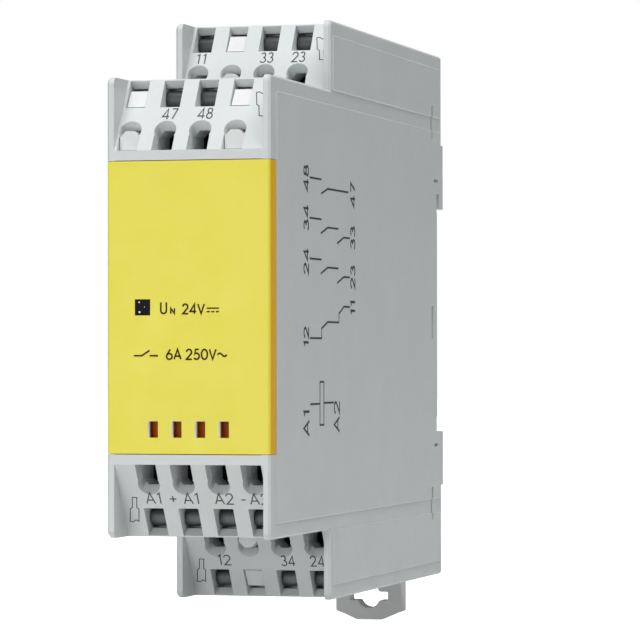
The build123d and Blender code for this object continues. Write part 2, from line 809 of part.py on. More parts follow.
def make_clamp_spring(x, front, edge):
    """Return one clamp spring: holding leg, round bow behind the release slot and slanting clamp leg."""
    cy = front + BOW_DEPTH
    cz = edge + BOW_HEIGHT
    outer = BOW_RADIUS
    inner = BOW_RADIUS - SPRING_THICKNESS
    lean = math.radians(CLAMP_ANGLE)
    x0 = x - SPRING_WIDTH / 2
    end_y = front + HOLD_LEG_END
    bend_y = cy + BOW_RUN
    inner_bend_y = bend_y + SPRING_THICKNESS * math.tan(lean / 2)
    fall = BOW_HEIGHT - outer - CAVITY_START - BAR_THICKNESS - CLAMP_GAP
    tip_y = bend_y + fall / math.tan(lean)
    tip_z = cz - outer - fall
    inner_tip = (x0, tip_y + SPRING_THICKNESS * math.sin(lean), tip_z + SPRING_THICKNESS * math.cos(lean))
    outline = [
        Line((x0, end_y, cz + outer), (x0, cy, cz + outer)),
        ThreePointArc((x0, cy, cz + outer), (x0, cy - outer, cz), (x0, cy, cz - outer)),
        Line((x0, cy, cz - outer), (x0, bend_y, cz - outer)),
        Line((x0, bend_y, cz - outer), (x0, tip_y, tip_z)),
        Line((x0, tip_y, tip_z), inner_tip),
        Line(inner_tip, (x0, inner_bend_y, cz - inner)),
        Line((x0, inner_bend_y, cz - inner), (x0, cy, cz - inner)),
        ThreePointArc((x0, cy, cz - inner), (x0, cy - inner, cz), (x0, cy, cz + inner)),
        Line((x0, cy, cz + inner), (x0, end_y, cz + inner)),
        Line((x0, end_y, cz + inner), (x0, end_y, cz + outer)),
    ]
    face = make_face(Wire(outline))
    return extrude(face, amount=SPRING_WIDTH, dir=(1, 0, 0))


def make_contact_bar(x, front, edge, side, order):
    """Return one contact bar: bar in the carrier, run to the board and solder leg."""
    low = edge + CAVITY_START
    high = low + BAR_THICKNESS
    half = BAR_WIDTH / 2
    run_start = front + CARRIER_BACK + BAR_FIRST_RUN + order * BAR_RUN_PITCH
    run_end = run_start + BAR_RUN_WIDTH
    bar = block(side * x - half, side * x + half, front + BAR_FRONT, run_end, side * low, side * high)
    back_leg = block(
        side * x - half,
        side * x + half,
        front + BAR_BACK_LEG,
        front + BAR_BACK_LEG + BAR_THICKNESS,
        side * high,
        side * (edge + BAR_BACK_LEG_TOP),
    )
    run = block(BOARD_FACE, side * x, run_start, run_end, side * low, side * high)
    leg = block(
        BOARD_FACE, BOARD_FACE + BAR_LEG_THICKNESS, run_start, run_end, side * high, side * (high - BAR_LEG)
    )
    return bar + back_leg + run + leg


def pin_places():
    """Return the (y, z) places of the relay's pins: two per contact set and two for the coil."""
    places = []
    for z in blade_places():
        places.append((RELAY_Y - BLADE_WIDTH, z))
        places.append((RELAY_Y + BLADE_WIDTH, z))
    for y in (RELAY_Y - BLADE_WIDTH, RELAY_Y + BLADE_WIDTH):
        places.append((y, BOBBIN_START))
    return places


def blade_places():
    """Return the Z of each moving contact spring."""
    return [FIRST_BLADE + index * BLADE_PITCH for index in range(MAKE_CONTACTS + 1)]


def make_board():
    """Return the stepped circuit board."""
    front_end = FRONT + CARRIER_BACK + COVER_GAP
    rear_start = REAR_TIER_FRONT + CARRIER_BACK + COVER_GAP
    upper = [
        (BOARD_FRONT, BOARD_FRONT_HALF),
        (front_end, BOARD_FRONT_HALF),
        (front_end, BOARD_MID_HALF),
        (rear_start, BOARD_MID_HALF),
        (rear_start, BOARD_REAR_HALF),
        (BOARD_BACK, BOARD_REAR_HALF),
    ]
    outline = upper + [(y, -z) for y, z in reversed(upper)]
    board = prism_x(outline, BOARD_X, BOARD_FACE)
    for y, z in pin_places():
        board = board - pin_at(y, z, BOARD_X - THROUGH, BOARD_FACE + THROUGH)
    return board


def pin_at(y, z, x0, x1):
    """Return one flat relay pin."""
    return block(x0, x1, y - PIN_WIDTH / 2, y + PIN_WIDTH / 2, z - PIN_THICKNESS / 2, z + PIN_THICKNESS / 2)


def fixed_place(index, z):
    """Return the Z range of the fixed contact strip that belongs to a moving spring."""
    step = BLADE_THICKNESS / 2 + 2 * CONTACT_HEIGHT
    if index < MAKE_CONTACTS:
        near = z - step - OPEN_GAP
        return (near - FIXED_THICKNESS, near)
    near = z + step + CLOSED_GAP
    return (near, near + FIXED_THICKNESS)


def make_relay_base():
    """Return the relay base with spring slots, chamber walls and pins."""
    base = block(BOARD_FACE, RELAY_BASE_TOP, RELAY_FRONT, RELAY_BACK, -RELAY_HALF_LENGTH, RELAY_HALF_LENGTH)
    half = BLADE_WIDTH / 2
    for index, z in enumerate(blade_places()):
        slot_half = BLADE_THICKNESS / 2 + BLADE_GAP
        base = base - block(
            BLADE_ROOT - BLADE_GAP,
            RELAY_BASE_TOP + THROUGH,
            RELAY_Y - half - BLADE_GAP,
            RELAY_Y + half + BLADE_GAP,
            z - slot_half,
            z + slot_half,
        )
        low, high = fixed_place(index, z)
        base = base - block(BLADE_ROOT, RELAY_BASE_TOP + THROUGH, RELAY_Y - half, RELAY_Y + half, low, high)
        if index < MAKE_CONTACTS:
            wall = z + CHAMBER_WALL_OFFSET
            inside = RELAY_WIDTH / 2 - RELAY_WALL - CARD_GAP
            base = base + block(
                RELAY_BASE_TOP - THROUGH,
                CHAMBER_WALL_TOP,
                RELAY_Y - inside,
                RELAY_Y + inside,
                wall,
                wall + CHAMBER_WALL,
            )
    for y, z in pin_places():
        base = base + pin_at(y, z, BOARD_X - PIN_STICK_OUT, BOARD_FACE + THROUGH)
    return base


def make_relay_cover():
    """Return the relay's dust cover."""
    cover = block(RELAY_BASE_TOP, RELAY_TOP, RELAY_FRONT, RELAY_BACK, -RELAY_HALF_LENGTH, RELAY_HALF_LENGTH)
    return cover - block(
        RELAY_BASE_TOP - THROUGH,
        RELAY_TOP - RELAY_WALL,
        RELAY_FRONT + RELAY_WALL,
        RELAY_BACK - RELAY_WALL,
        -RELAY_HALF_LENGTH + RELAY_WALL,
        RELAY_HALF_LENGTH - RELAY_WALL,
    )


def square(size, z0, z1):
    """Return a square bar on the coil axis."""
    half = size / 2
    return block(COIL_X - half, COIL_X + half, RELAY_Y - half, RELAY_Y + half, z0, z1)


def make_bobbin():
    """Return the coil bobbin."""
    tube = square(TUBE_SIZE, BOBBIN_START, BOBBIN_END)
    low = square(FLANGE_SIZE, BOBBIN_START, BOBBIN_START + FLANGE_THICKNESS)
    high = square(FLANGE_SIZE, BOBBIN_END - FLANGE_THICKNESS, BOBBIN_END)
    return tube + low + high - square(CORE_SIZE, BOBBIN_START - THROUGH, BOBBIN_END + THROUGH)


def make_winding():
    """Return the copper winding."""
    start = BOBBIN_START + FLANGE_THICKNESS
    end = BOBBIN_END - FLANGE_THICKNESS
    winding = square(WINDING_SIZE, start, end)
    winding = fillet(winding.edges().filter_by(Axis.Z), WINDING_ROUND)
    return winding - square(TUBE_SIZE, start - THROUGH, end + THROUGH)


def make_core():
    """Return the coil core."""
    return square(CORE_SIZE, BOBBIN_START, POLE_FACE)


def make_yoke():
    """Return the L-shaped yoke under and behind the coil."""
    half = YOKE_WIDTH / 2
    leg = block(
        YOKE_BOTTOM,
        YOKE_TOP,
        RELAY_Y - half,
        RELAY_Y + half,
        BOBBIN_START - YOKE_THICKNESS,
        ARMATURE_BACK - CARD_GAP,
    )
    plate = block(
        YOKE_TOP,
        COIL_X + CORE_SIZE,
        RELAY_Y - half,
        RELAY_Y + half,
        BOBBIN_START - YOKE_THICKNESS,
        BOBBIN_START,
    )
    return leg + plate


def make_armature():
    """Return the hinged armature with the finger that drives the card."""
    plate = block(
        YOKE_BOTTOM,
        CARD_BOTTOM - THROUGH,
        RELAY_Y - ARMATURE_WIDTH / 2,
        RELAY_Y + ARMATURE_WIDTH / 2,
        ARMATURE_BACK,
        ARMATURE_BACK + ARMATURE_THICKNESS,
    )
    finger = block(
        CARD_BOTTOM - THROUGH,
        CARD_BOTTOM + CARD_THICKNESS - CARD_GAP,
        RELAY_Y - ARMATURE_FINGER / 2,
        RELAY_Y + ARMATURE_FINGER / 2,
        ARMATURE_BACK,
        ARMATURE_BACK + ARMATURE_THICKNESS,
    )
    return plate + finger


def make_card():
    """Return the actuator card with one slot per moving spring and one for the armature."""
    card = block(
        CARD_BOTTOM,
        CARD_BOTTOM + CARD_THICKNESS,
        RELAY_Y - CARD_WIDTH / 2,
        RELAY_Y + CARD_WIDTH / 2,
        CARD_START,
        CARD_END,
    )
    card = card - card_slot(
        ARMATURE_FINGER, ARMATURE_BACK - CARD_GAP, ARMATURE_BACK + ARMATURE_THICKNESS + CARD_GAP
    )
    for z in blade_places():
        half = BLADE_THICKNESS / 2 + CARD_GAP
        card = card - card_slot(BLADE_WIDTH, z - half, z + half)
    return card


def card_slot(width, z0, z1):
    """Return one slot through the card."""
    half = width / 2 + CARD_GAP
    top = CARD_BOTTOM + CARD_THICKNESS + THROUGH
    return block(CARD_BOTTOM - THROUGH, top, RELAY_Y - half, RELAY_Y + half, z0, z1)


def make_moving_spring(index, z):
    """Return one moving contact spring with its contact."""
    half = BLADE_WIDTH / 2
    blade = block(
        BLADE_ROOT,
        BLADE_TOP,
        RELAY_Y - half,
        RELAY_Y + half,
        z - BLADE_THICKNESS / 2,
        z + BLADE_THICKNESS / 2,
    )
    towards = -1 if index < MAKE_CONTACTS else 1
    start = (CONTACT_X, RELAY_Y, z + towards * BLADE_THICKNESS / 2)
    return blade + rod(start, (0, 0, towards), CONTACT_RADIUS, CONTACT_HEIGHT)


def make_fixed_contact(index, z):
    """Return one fixed contact strip with its contact."""
    low, high = fixed_place(index, z)
    half = BLADE_WIDTH / 2
    strip = block(BLADE_ROOT, FIXED_TOP, RELAY_Y - half, RELAY_Y + half, low, high)
    if index < MAKE_CONTACTS:
        return strip + rod((CONTACT_X, RELAY_Y, high), (0, 0, 1), CONTACT_RADIUS, CONTACT_HEIGHT)
    return strip + rod((CONTACT_X, RELAY_Y, low), (0, 0, -1), CONTACT_RADIUS, CONTACT_HEIGHT)


def make_board_parts():
    """Return the small parts on the board by name."""
    led_half = LED_SIZE / 2
    led = block(BOARD_FACE, BOARD_FACE + LED_SIZE, LED_FRONT, LED_FRONT + LED_SIZE, -led_half, led_half)
    height, length, width = DIODE
    diode = block(
        BOARD_FACE,
        BOARD_FACE + height,
        DIODE_Y - length / 2,
        DIODE_Y + length / 2,
        DIODE_Z - width / 2,
        DIODE_Z + width / 2,
    )
    middle = BOARD_FACE + CAPACITOR_RADIUS + BOARD_THICKNESS
    start = (middle, CAPACITOR_Y, CAPACITOR_Z - CAPACITOR_LENGTH / 2)
    can = rod(start, (0, 0, 1), CAPACITOR_RADIUS, CAPACITOR_LENGTH)
    foot = block(
        BOARD_FACE,
        middle,
        CAPACITOR_Y - LED_SIZE,
        CAPACITOR_Y + LED_SIZE,
        CAPACITOR_Z - LED_SIZE,
        CAPACITOR_Z + LED_SIZE,
    )
    return {"status_led": led, "surge_diode": diode, "smoothing_capacitor": can + foot}


def make_fields():
    """Return plugs, carriers, clamp springs and contact bars of the four terminal fields."""
    pieces = {}
    for name, front, edge, side, labels in FIELDS:
        pieces[name + "_terminal_carrier"] = to_side(make_carrier(front, edge, labels), side)
        live = [index for index, label in enumerate(labels) if label is not None]
        nearest_first = sorted(live, key=lambda index: side * column_x(index))
        for index, label in enumerate(labels):
            x = column_x(index)
            if label is None:
                key = name + "_blanking_plug"
                if key in pieces:
                    key = name + "_blanking_plug_right"
                pieces[key] = to_side(make_plug(x, front, edge), side)
                continue
            pieces["clamp_spring_" + label] = to_side(make_clamp_spring(x, front, edge), side)
            order = nearest_first.index(index)
            pieces["contact_bar_" + label] = make_contact_bar(x, front, edge, side, order)
    return pieces


def make_relay():
    """Return the pieces of the guided-contact relay."""
    pieces = {
        "relay_base": make_relay_base(),
        "relay_cover": make_relay_cover(),
        "coil_bobbin": make_bobbin(),
        "coil_winding": make_winding(),
        "coil_core": make_core(),
        "relay_yoke": make_yoke(),
        "relay_armature": make_armature(),
        "actuator_card": make_card(),
    }
    for index, z in enumerate(blade_places()):
        number = str(index + 1)
        pieces["moving_contact_" + number] = make_moving_spring(index, z)
        pieces["fixed_contact_" + number] = make_fixed_contact(index, z)
    return pieces


def main():
    """Build every piece and write it to its own file."""
    pieces = {
        "housing_shell": make_shell(),
        "rear_base": make_rear_base(),
        "front_cover": make_front_cover(),
        "light_guide": make_light_guide(),
        "rail_foot": make_rail_foot(),
        "circuit_board": make_board(),
    }
    coil, ring = make_foot_spring()
    low, high = spring_ends()
    lower_ring = Pos(0, 0, low + COIL_WIRE / 2) * ring
    upper_ring = Pos(0, 0, high - COIL_WIRE / 2) * ring
    pieces["rail_foot_spring"] = coil + lower_ring + upper_ring
    pieces.update(make_board_parts())
    pieces.update(make_fields())
    pieces.update(make_relay())
    os.makedirs("parts", exist_ok=True)
    for name, shape in pieces.items():
        export_step(shape, "parts/" + name + ".step")


main()
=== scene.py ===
"""Looks of a slim rail-mounted safety relay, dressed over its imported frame.

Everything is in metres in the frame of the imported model. Sizes in the classes are millimetres where
nothing else is said.
"""

import json
import logging
import math
from collections.abc import Sequence
from dataclasses import dataclass
from enum import Enum

import bmesh
import bpy
from mathutils import Matrix, Vector


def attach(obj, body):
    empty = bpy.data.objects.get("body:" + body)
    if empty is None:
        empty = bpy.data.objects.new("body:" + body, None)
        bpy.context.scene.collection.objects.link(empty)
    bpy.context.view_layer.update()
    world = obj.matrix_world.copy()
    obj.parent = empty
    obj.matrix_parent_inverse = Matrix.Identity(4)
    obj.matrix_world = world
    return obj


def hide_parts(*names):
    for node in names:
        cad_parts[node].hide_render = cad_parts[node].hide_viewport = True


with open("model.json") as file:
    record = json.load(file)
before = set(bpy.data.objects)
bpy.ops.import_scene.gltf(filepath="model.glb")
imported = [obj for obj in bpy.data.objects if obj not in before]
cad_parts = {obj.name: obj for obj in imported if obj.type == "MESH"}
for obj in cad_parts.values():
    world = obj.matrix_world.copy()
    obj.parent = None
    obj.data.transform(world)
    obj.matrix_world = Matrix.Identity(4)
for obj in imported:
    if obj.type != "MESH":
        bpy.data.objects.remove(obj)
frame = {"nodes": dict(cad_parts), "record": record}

LOG = logging.getLogger("safety_relay")
MM = 0.001
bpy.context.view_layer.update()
MODULE = "module"
Point = tuple[float, float]
Triple = tuple[float, float, float]
Tree = bpy.types.NodeTree
Socket = bpy.types.NodeSocket

# Most of a noise pattern lies between these two values.
PATTERN_LOW = 0.3
PATTERN_HIGH = 0.7

# How strongly the finer octaves of a noise pattern show.
NOISE_ROUGHNESS = 0.55

# Points of one repeated mesh that lie nearer than this, in metres, are the same point.
SAME_POINT = 1e-7


class Grain(Enum):
    """Named surface grains of the mouldings: repeats per metre and strength of the bump."""

    FINE = (5200.0, 0.10)
    SPARK = (2600.0, 0.22)
    POLISHED = (900.0, 0.03)


def new_material(name: str) -> tuple[bpy.types.Material, Tree, bpy.types.Node]:
    """Make an empty node material.

    Args:
        name: name of the material.

    Returns:
        The material, its node tree and its Principled shader.
    """
    material = bpy.data.materials.new(name)
    material.use_nodes = True
    tree = material.node_tree
    shader = tree.nodes["Principled BSDF"]
    return material, tree, shader


def add_node(tree: Tree, kind: str, **settings: object) -> bpy.types.Node:
    """Add a node and set its sockets by name.

    Args:
        tree: node tree that gets the node.
        kind: node type name.
        settings: socket values, with underscores for spaces.

    Returns:
        The new node.
    """
    node = tree.nodes.new(kind)
    for name, value in settings.items():
        node.inputs[name.replace("_", " ")].default_value = value
    return node


def object_coordinates(tree: Tree, stretch: Triple = (1, 1, 1)) -> Socket:
    """Give Object coordinates, stretched along the axes.

    Args:
        tree: node tree that gets the nodes.
        stretch: scale of the coordinates along each axis.

    Returns:
        The coordinates' socket.
    """
    place = tree.nodes.new("ShaderNodeTexCoord")
    mapping = tree.nodes.new("ShaderNodeMapping")
    mapping.inputs["Scale"].default_value = stretch
    tree.links.new(place.outputs["Object"], mapping.inputs["Vector"])
    return mapping.outputs["Vector"]


def noise(tree: Tree, vector: Socket, scale: float, detail: float = 3.0) -> Socket:
    """Give the value of a noise pattern.

    Args:
        tree: node tree that gets the pattern.
        vector: coordinates it reads.
        scale: repeats per metre.
        detail: octaves.

    Returns:
        The pattern's value socket.
    """
    node = add_node(tree, "ShaderNodeTexNoise", Scale=scale, Detail=detail, Roughness=NOISE_ROUGHNESS)
    tree.links.new(vector, node.inputs["Vector"])
    return node.outputs["Fac"]


def spread(tree: Tree, value: Socket, low: float, high: float) -> Socket:
    """Map a pattern to a range of values.

    Args:
        tree: node tree that gets the node.
        value: pattern to map.
        low: value at the pattern's low end.
        high: value at its high end.

    Returns:
        The mapped value's socket.
    """
    node = add_node(tree, "ShaderNodeMapRange", To_Min=low, To_Max=high)
    node.inputs["From Min"].default_value = PATTERN_LOW
    node.inputs["From Max"].default_value = PATTERN_HIGH
    tree.links.new(value, node.inputs["Value"])
    return node.outputs["Result"]


def tinted(tree: Tree, value: Socket, colour: Triple, change: float) -> Socket:
    """Vary a colour a little with a pattern.

    Args:
        tree: node tree that gets the ramp.
        value: pattern that drives it.
        colour: middle colour.
        change: share by which it gets darker and lighter.

    Returns:
        The colour socket.
    """
    ramp = tree.nodes.new("ShaderNodeValToRGB")
    dark, light = ramp.color_ramp.elements
    dark.position = PATTERN_LOW
    light.position = PATTERN_HIGH
    dark.color = (*[c * (1 - change) for c in colour], 1)
    light.color = (*[min(1.0, c * (1 + change)) for c in colour], 1)
    tree.links.new(value, ramp.inputs["Fac"])
    return ramp.outputs["Color"]


def bumped(tree: Tree, height: Socket, strength: float, distance: float) -> Socket:
    """Give a normal bumped by a height pattern.

    Args:
        tree: node tree that gets the node.
        height: pattern that gives the height.
        strength: share of the bump that shows.
        distance: its depth in millimetres.

    Returns:
        The normal's socket.
    """
    bump = add_node(tree, "ShaderNodeBump", Strength=strength, Distance=distance * MM)
    tree.links.new(height, bump.inputs["Height"])
    return bump.outputs["Normal"]


@dataclass(frozen=True)
class MouldedPlastic:
    """A moulded plastic finish with fine grain and slight mottling. Scales are repeats per metre."""

    CLOUD_SCALE = 90.0
    CLOUD_DETAIL = 4.0
    GRAIN_DETAIL = 2.0
    GRAIN_DEPTH = 0.05
    SHINE_SCALE = 260.0
    SHINE_CHANGE = 0.05

    name: str
    colour: Triple
    roughness: float = 0.5
    grain: Grain = Grain.FINE
    mottling: float = 0.03
    specular: float = 0.4
    coat: float = 0.0

    def build(self) -> bpy.types.Material:
        """Make the material.

        Returns:
            The finished material.
        """
        material, tree, shader = new_material(self.name)
        scale, depth = self.grain.value
        place = object_coordinates(tree)
        cloud = noise(tree, place, self.CLOUD_SCALE, self.CLOUD_DETAIL)
        fine = noise(tree, place, scale, self.GRAIN_DETAIL)
        tree.links.new(tinted(tree, cloud, self.colour, self.mottling), shader.inputs["Base Color"])
        smoothest = self.roughness - self.SHINE_CHANGE
        roughest = self.roughness + self.SHINE_CHANGE
        rough = spread(tree, noise(tree, place, self.SHINE_SCALE), smoothest, roughest)
        tree.links.new(rough, shader.inputs["Roughness"])
        tree.links.new(bumped(tree, fine, depth, self.GRAIN_DEPTH), shader.inputs["Normal"])
        shader.inputs["Specular IOR Level"].default_value = self.specular
        shader.inputs["Coat Weight"].default_value = self.coat
        return material


@dataclass(frozen=True)
class DrawnMetal:
    """A rolled or drawn metal finish with lines along one axis. Scales are repeats per metre."""

    LINE_SCALE = 6500.0
    LINE_STRENGTH = 0.25
    LINE_DEPTH = 0.02
    CLOUD_SCALE = 300.0
    TINT_CHANGE = 0.06
    SMOOTHER = 0.08
    ROUGHER = 0.10

    name: str
    colour: Triple
    roughness: float = 0.32
    stretch: Triple = (1.0, 0.06, 1.0)

    def build(self) -> bpy.types.Material:
        """Make the material.

        Returns:
            The finished material.
        """
        material, tree, shader = new_material(self.name)
        place = object_coordinates(tree, self.stretch)
        lines = noise(tree, place, self.LINE_SCALE)
        cloud = noise(tree, object_coordinates(tree), self.CLOUD_SCALE)
        tree.links.new(tinted(tree, cloud, self.colour, self.TINT_CHANGE), shader.inputs["Base Color"])
        rough = spread(tree, lines, self.roughness - self.SMOOTHER, self.roughness + self.ROUGHER)
        tree.links.new(rough, shader.inputs["Roughness"])
        tree.links.new(bumped(tree, lines, self.LINE_STRENGTH, self.LINE_DEPTH), shader.inputs["Normal"])
        shader.inputs["Metallic"].default_value = 1.0
        return material


@dataclass(frozen=True)
class PrintInk:
    """A thin printed ink with slightly uneven cover."""

    PATCH_SCALE = 2200.0
    PATCH_DETAIL = 2.0
    TINT_CHANGE = 0.25
    SMOOTHEST = 0.45
    ROUGHEST = 0.65
    SPECULAR = 0.12

    name: str
    colour: Triple

    def build(self) -> bpy.types.Material:
        """Make the material.

        Returns:
            The finished material.
        """
        material, tree, shader = new_material(self.name)
        patch = noise(tree, object_coordinates(tree), self.PATCH_SCALE, self.PATCH_DETAIL)
        tree.links.new(tinted(tree, patch, self.colour, self.TINT_CHANGE), shader.inputs["Base Color"])
        tree.links.new(spread(tree, patch, self.SMOOTHEST, self.ROUGHEST), shader.inputs["Roughness"])
        shader.inputs["Specular IOR Level"].default_value = self.SPECULAR
        return material


@dataclass(frozen=True)
class BoardLaminate:
    """Coated laminate with copper tracks showing through.

    The tracks are the joints of a brick pattern, whose lengths are in pattern units.
    """

    UNITS_PER_METRE = 100.0
    FIELD_LENGTH = 1.1
    FIELD_HEIGHT = 0.24
    TRACK_WIDTH = 0.022
    TRACK_STRENGTH = 0.3
    TRACK_DEPTH = 0.03
    LIGHTER = 1.15
    ROUGHNESS = 0.3

    name: str
    coating: Triple
    track: Triple

    def build(self) -> bpy.types.Material:
        """Make the material.

        Returns:
            The finished material.
        """
        material, tree, shader = new_material(self.name)
        split = tree.nodes.new("ShaderNodeSeparateXYZ")
        tree.links.new(object_coordinates(tree), split.inputs["Vector"])
        flat = tree.nodes.new("ShaderNodeCombineXYZ")
        tree.links.new(split.outputs["Y"], flat.inputs["X"])
        tree.links.new(split.outputs["Z"], flat.inputs["Y"])
        tracks = add_node(
            tree,
            "ShaderNodeTexBrick",
            Color1=(*self.coating, 1),
            Color2=(*[c * self.LIGHTER for c in self.coating], 1),
            Mortar=(*self.track, 1),
            Scale=self.UNITS_PER_METRE,
            Brick_Width=self.FIELD_LENGTH,
            Row_Height=self.FIELD_HEIGHT,
            Mortar_Size=self.TRACK_WIDTH,
        )
        tree.links.new(flat.outputs["Vector"], tracks.inputs["Vector"])
        tree.links.new(tracks.outputs["Color"], shader.inputs["Base Color"])
        relief = bumped(tree, tracks.outputs["Fac"], self.TRACK_STRENGTH, self.TRACK_DEPTH)
        tree.links.new(relief, shader.inputs["Normal"])
        shader.inputs["Roughness"].default_value = self.ROUGHNESS
        return material


class Finishes:
    """All finishes: those of the record's slots under their names, and those that only the looks need."""

    def __init__(self) -> None:
        """Build every material once."""
        plans = (
            MouldedPlastic("housing_grey", (0.65, 0.684, 0.684), 0.52, Grain.FINE, 0.02),
            MouldedPlastic("base_grey", (0.58, 0.60, 0.60), 0.55, Grain.SPARK, 0.03),
            # This deep orange paints the shade on the cover's sides and on its other faces that do not look
            # forward.
            MouldedPlastic("cover_yellow", (0.93, 0.50, 0.002), 0.5, Grain.FINE, 0.015, 0.12),
            MouldedPlastic("window_dark", (0.002, 0.002, 0.002), 0.3, Grain.POLISHED, 0.1, 0.04),
            # The foot's grey is lighter than the housing's: partly a paler plastic, partly painted light that
            # stands for light from below which the lamps do not give the foot.
            MouldedPlastic("foot_grey", (0.9, 0.915, 0.91), 0.5, Grain.FINE, 0.02),
            MouldedPlastic("plug_white", (0.74, 0.75, 0.75), 0.5, Grain.FINE, 0.02),
            MouldedPlastic("carrier_grey", (0.10, 0.105, 0.105), 0.6, Grain.SPARK, 0.05),
            DrawnMetal("spring_steel", (0.10, 0.105, 0.108), 0.6, (1.0, 0.06, 0.06)),
            DrawnMetal("tinned_copper", (0.72, 0.62, 0.52), 0.3),
            BoardLaminate("board_laminate", (0.02, 0.13, 0.05), (0.05, 0.22, 0.09)),
            MouldedPlastic("led_body", (0.75, 0.85, 0.70), 0.15, Grain.POLISHED, 0.02, 0.5, 0.3),
            MouldedPlastic("black_plastic", (0.02, 0.02, 0.022), 0.5, Grain.SPARK, 0.1),
            DrawnMetal("can_aluminium", (0.78, 0.79, 0.80), 0.25, (1.0, 1.0, 0.05)),
            MouldedPlastic("relay_plastic", (0.03, 0.035, 0.045), 0.35, Grain.FINE, 0.05),
            MouldedPlastic("bobbin_plastic", (0.70, 0.70, 0.64), 0.45, Grain.FINE, 0.03),
            DrawnMetal("magnet_wire", (0.62, 0.22, 0.08), 0.28, (1.0, 1.0, 1.0)),
            DrawnMetal("relay_iron", (0.50, 0.50, 0.48), 0.38, (1.0, 1.0, 0.06)),
            MouldedPlastic("card_plastic", (0.78, 0.74, 0.58), 0.45, Grain.FINE, 0.03),
            DrawnMetal("contact_copper", (0.76, 0.48, 0.26), 0.3, (0.06, 1.0, 1.0)),
        )
        self.by_slot = {plan.name: plan.build() for plan in plans}
        self.cover_ink = PrintInk("cover_ink", (0.045, 0.017, 0.002)).build()
        self.number_ink = PrintInk("number_ink", (0.085, 0.088, 0.09)).build()
        self.diagram_ink = PrintInk("diagram_ink", (0.036, 0.04, 0.044)).build()
        # The cover's lemon finish for its forward faces: the lit copy beside the orange painted shade of its
        # other faces.
        self.cover_face_lit_copy = MouldedPlastic("cover_face_lit_copy", (0.82, 0.735, 0.066), 0.45, Grain.FINE, 0.012).build()
        # Painted shade with a painted warm reflection of the yellow cover, for the dark insides of the slots.
        self.shade_pane = MouldedPlastic("slot_painted_shade", (0.34, 0.085, 0.003), 0.5, Grain.POLISHED, 0.15, 0.08).build()
        # White spheres that paint highlights on the dark window.
        self.glint_paint = MouldedPlastic("window_glint_paint", (0.9, 0.9, 0.9), 0.2, Grain.POLISHED, 0.02).build()
        self.solder = DrawnMetal("solder", (0.70, 0.71, 0.73), 0.22, (1.0, 1.0, 1.0)).build()


def show(thing: bpy.types.Object) -> None:
    """Put an object into the scene."""
    bpy.context.scene.collection.objects.link(thing)


def evaluated(holder: bpy.types.Object) -> bpy.types.Mesh:
    """Give the mesh that an object's modifiers make, and take the object away.

    Args:
        holder: an object that is not in the scene yet.

    Returns:
        The plain mesh.
    """
    show(holder)
    depsgraph = bpy.context.evaluated_depsgraph_get()
    mesh = bpy.data.meshes.new_from_object(holder.evaluated_get(depsgraph), depsgraph=depsgraph)
    bpy.data.objects.remove(holder)
    return mesh


def outward(mesh: bpy.types.Mesh) -> None:
    """Merge doubles and point every face of a closed mesh outwards.

    Args:
        mesh: the mesh, which is changed in place.
    """
    work = bmesh.new()
    work.from_mesh(mesh)
    bmesh.ops.remove_doubles(work, verts=work.verts, dist=SAME_POINT)
    bmesh.ops.recalc_face_normals(work, faces=work.faces)
    work.to_mesh(mesh)
    work.free()


def piece_from_mesh(
    name: str, mesh: bpy.types.Mesh, material: bpy.types.Material, slot: str, body: str = MODULE
) -> bpy.types.Object:
    """Make a piece that rides on a body.

    Args:
        name: name of the piece.
        mesh: its finished mesh, in the model's frame.
        material: its finish.
        slot: the record's material slot; not used.
        body: body that carries it.

    Returns:
        The new object.
    """
    mesh.materials.clear()
    mesh.materials.append(material)
    piece = bpy.data.objects.new(name, mesh)
    show(piece)
    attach(piece, body)
    return piece


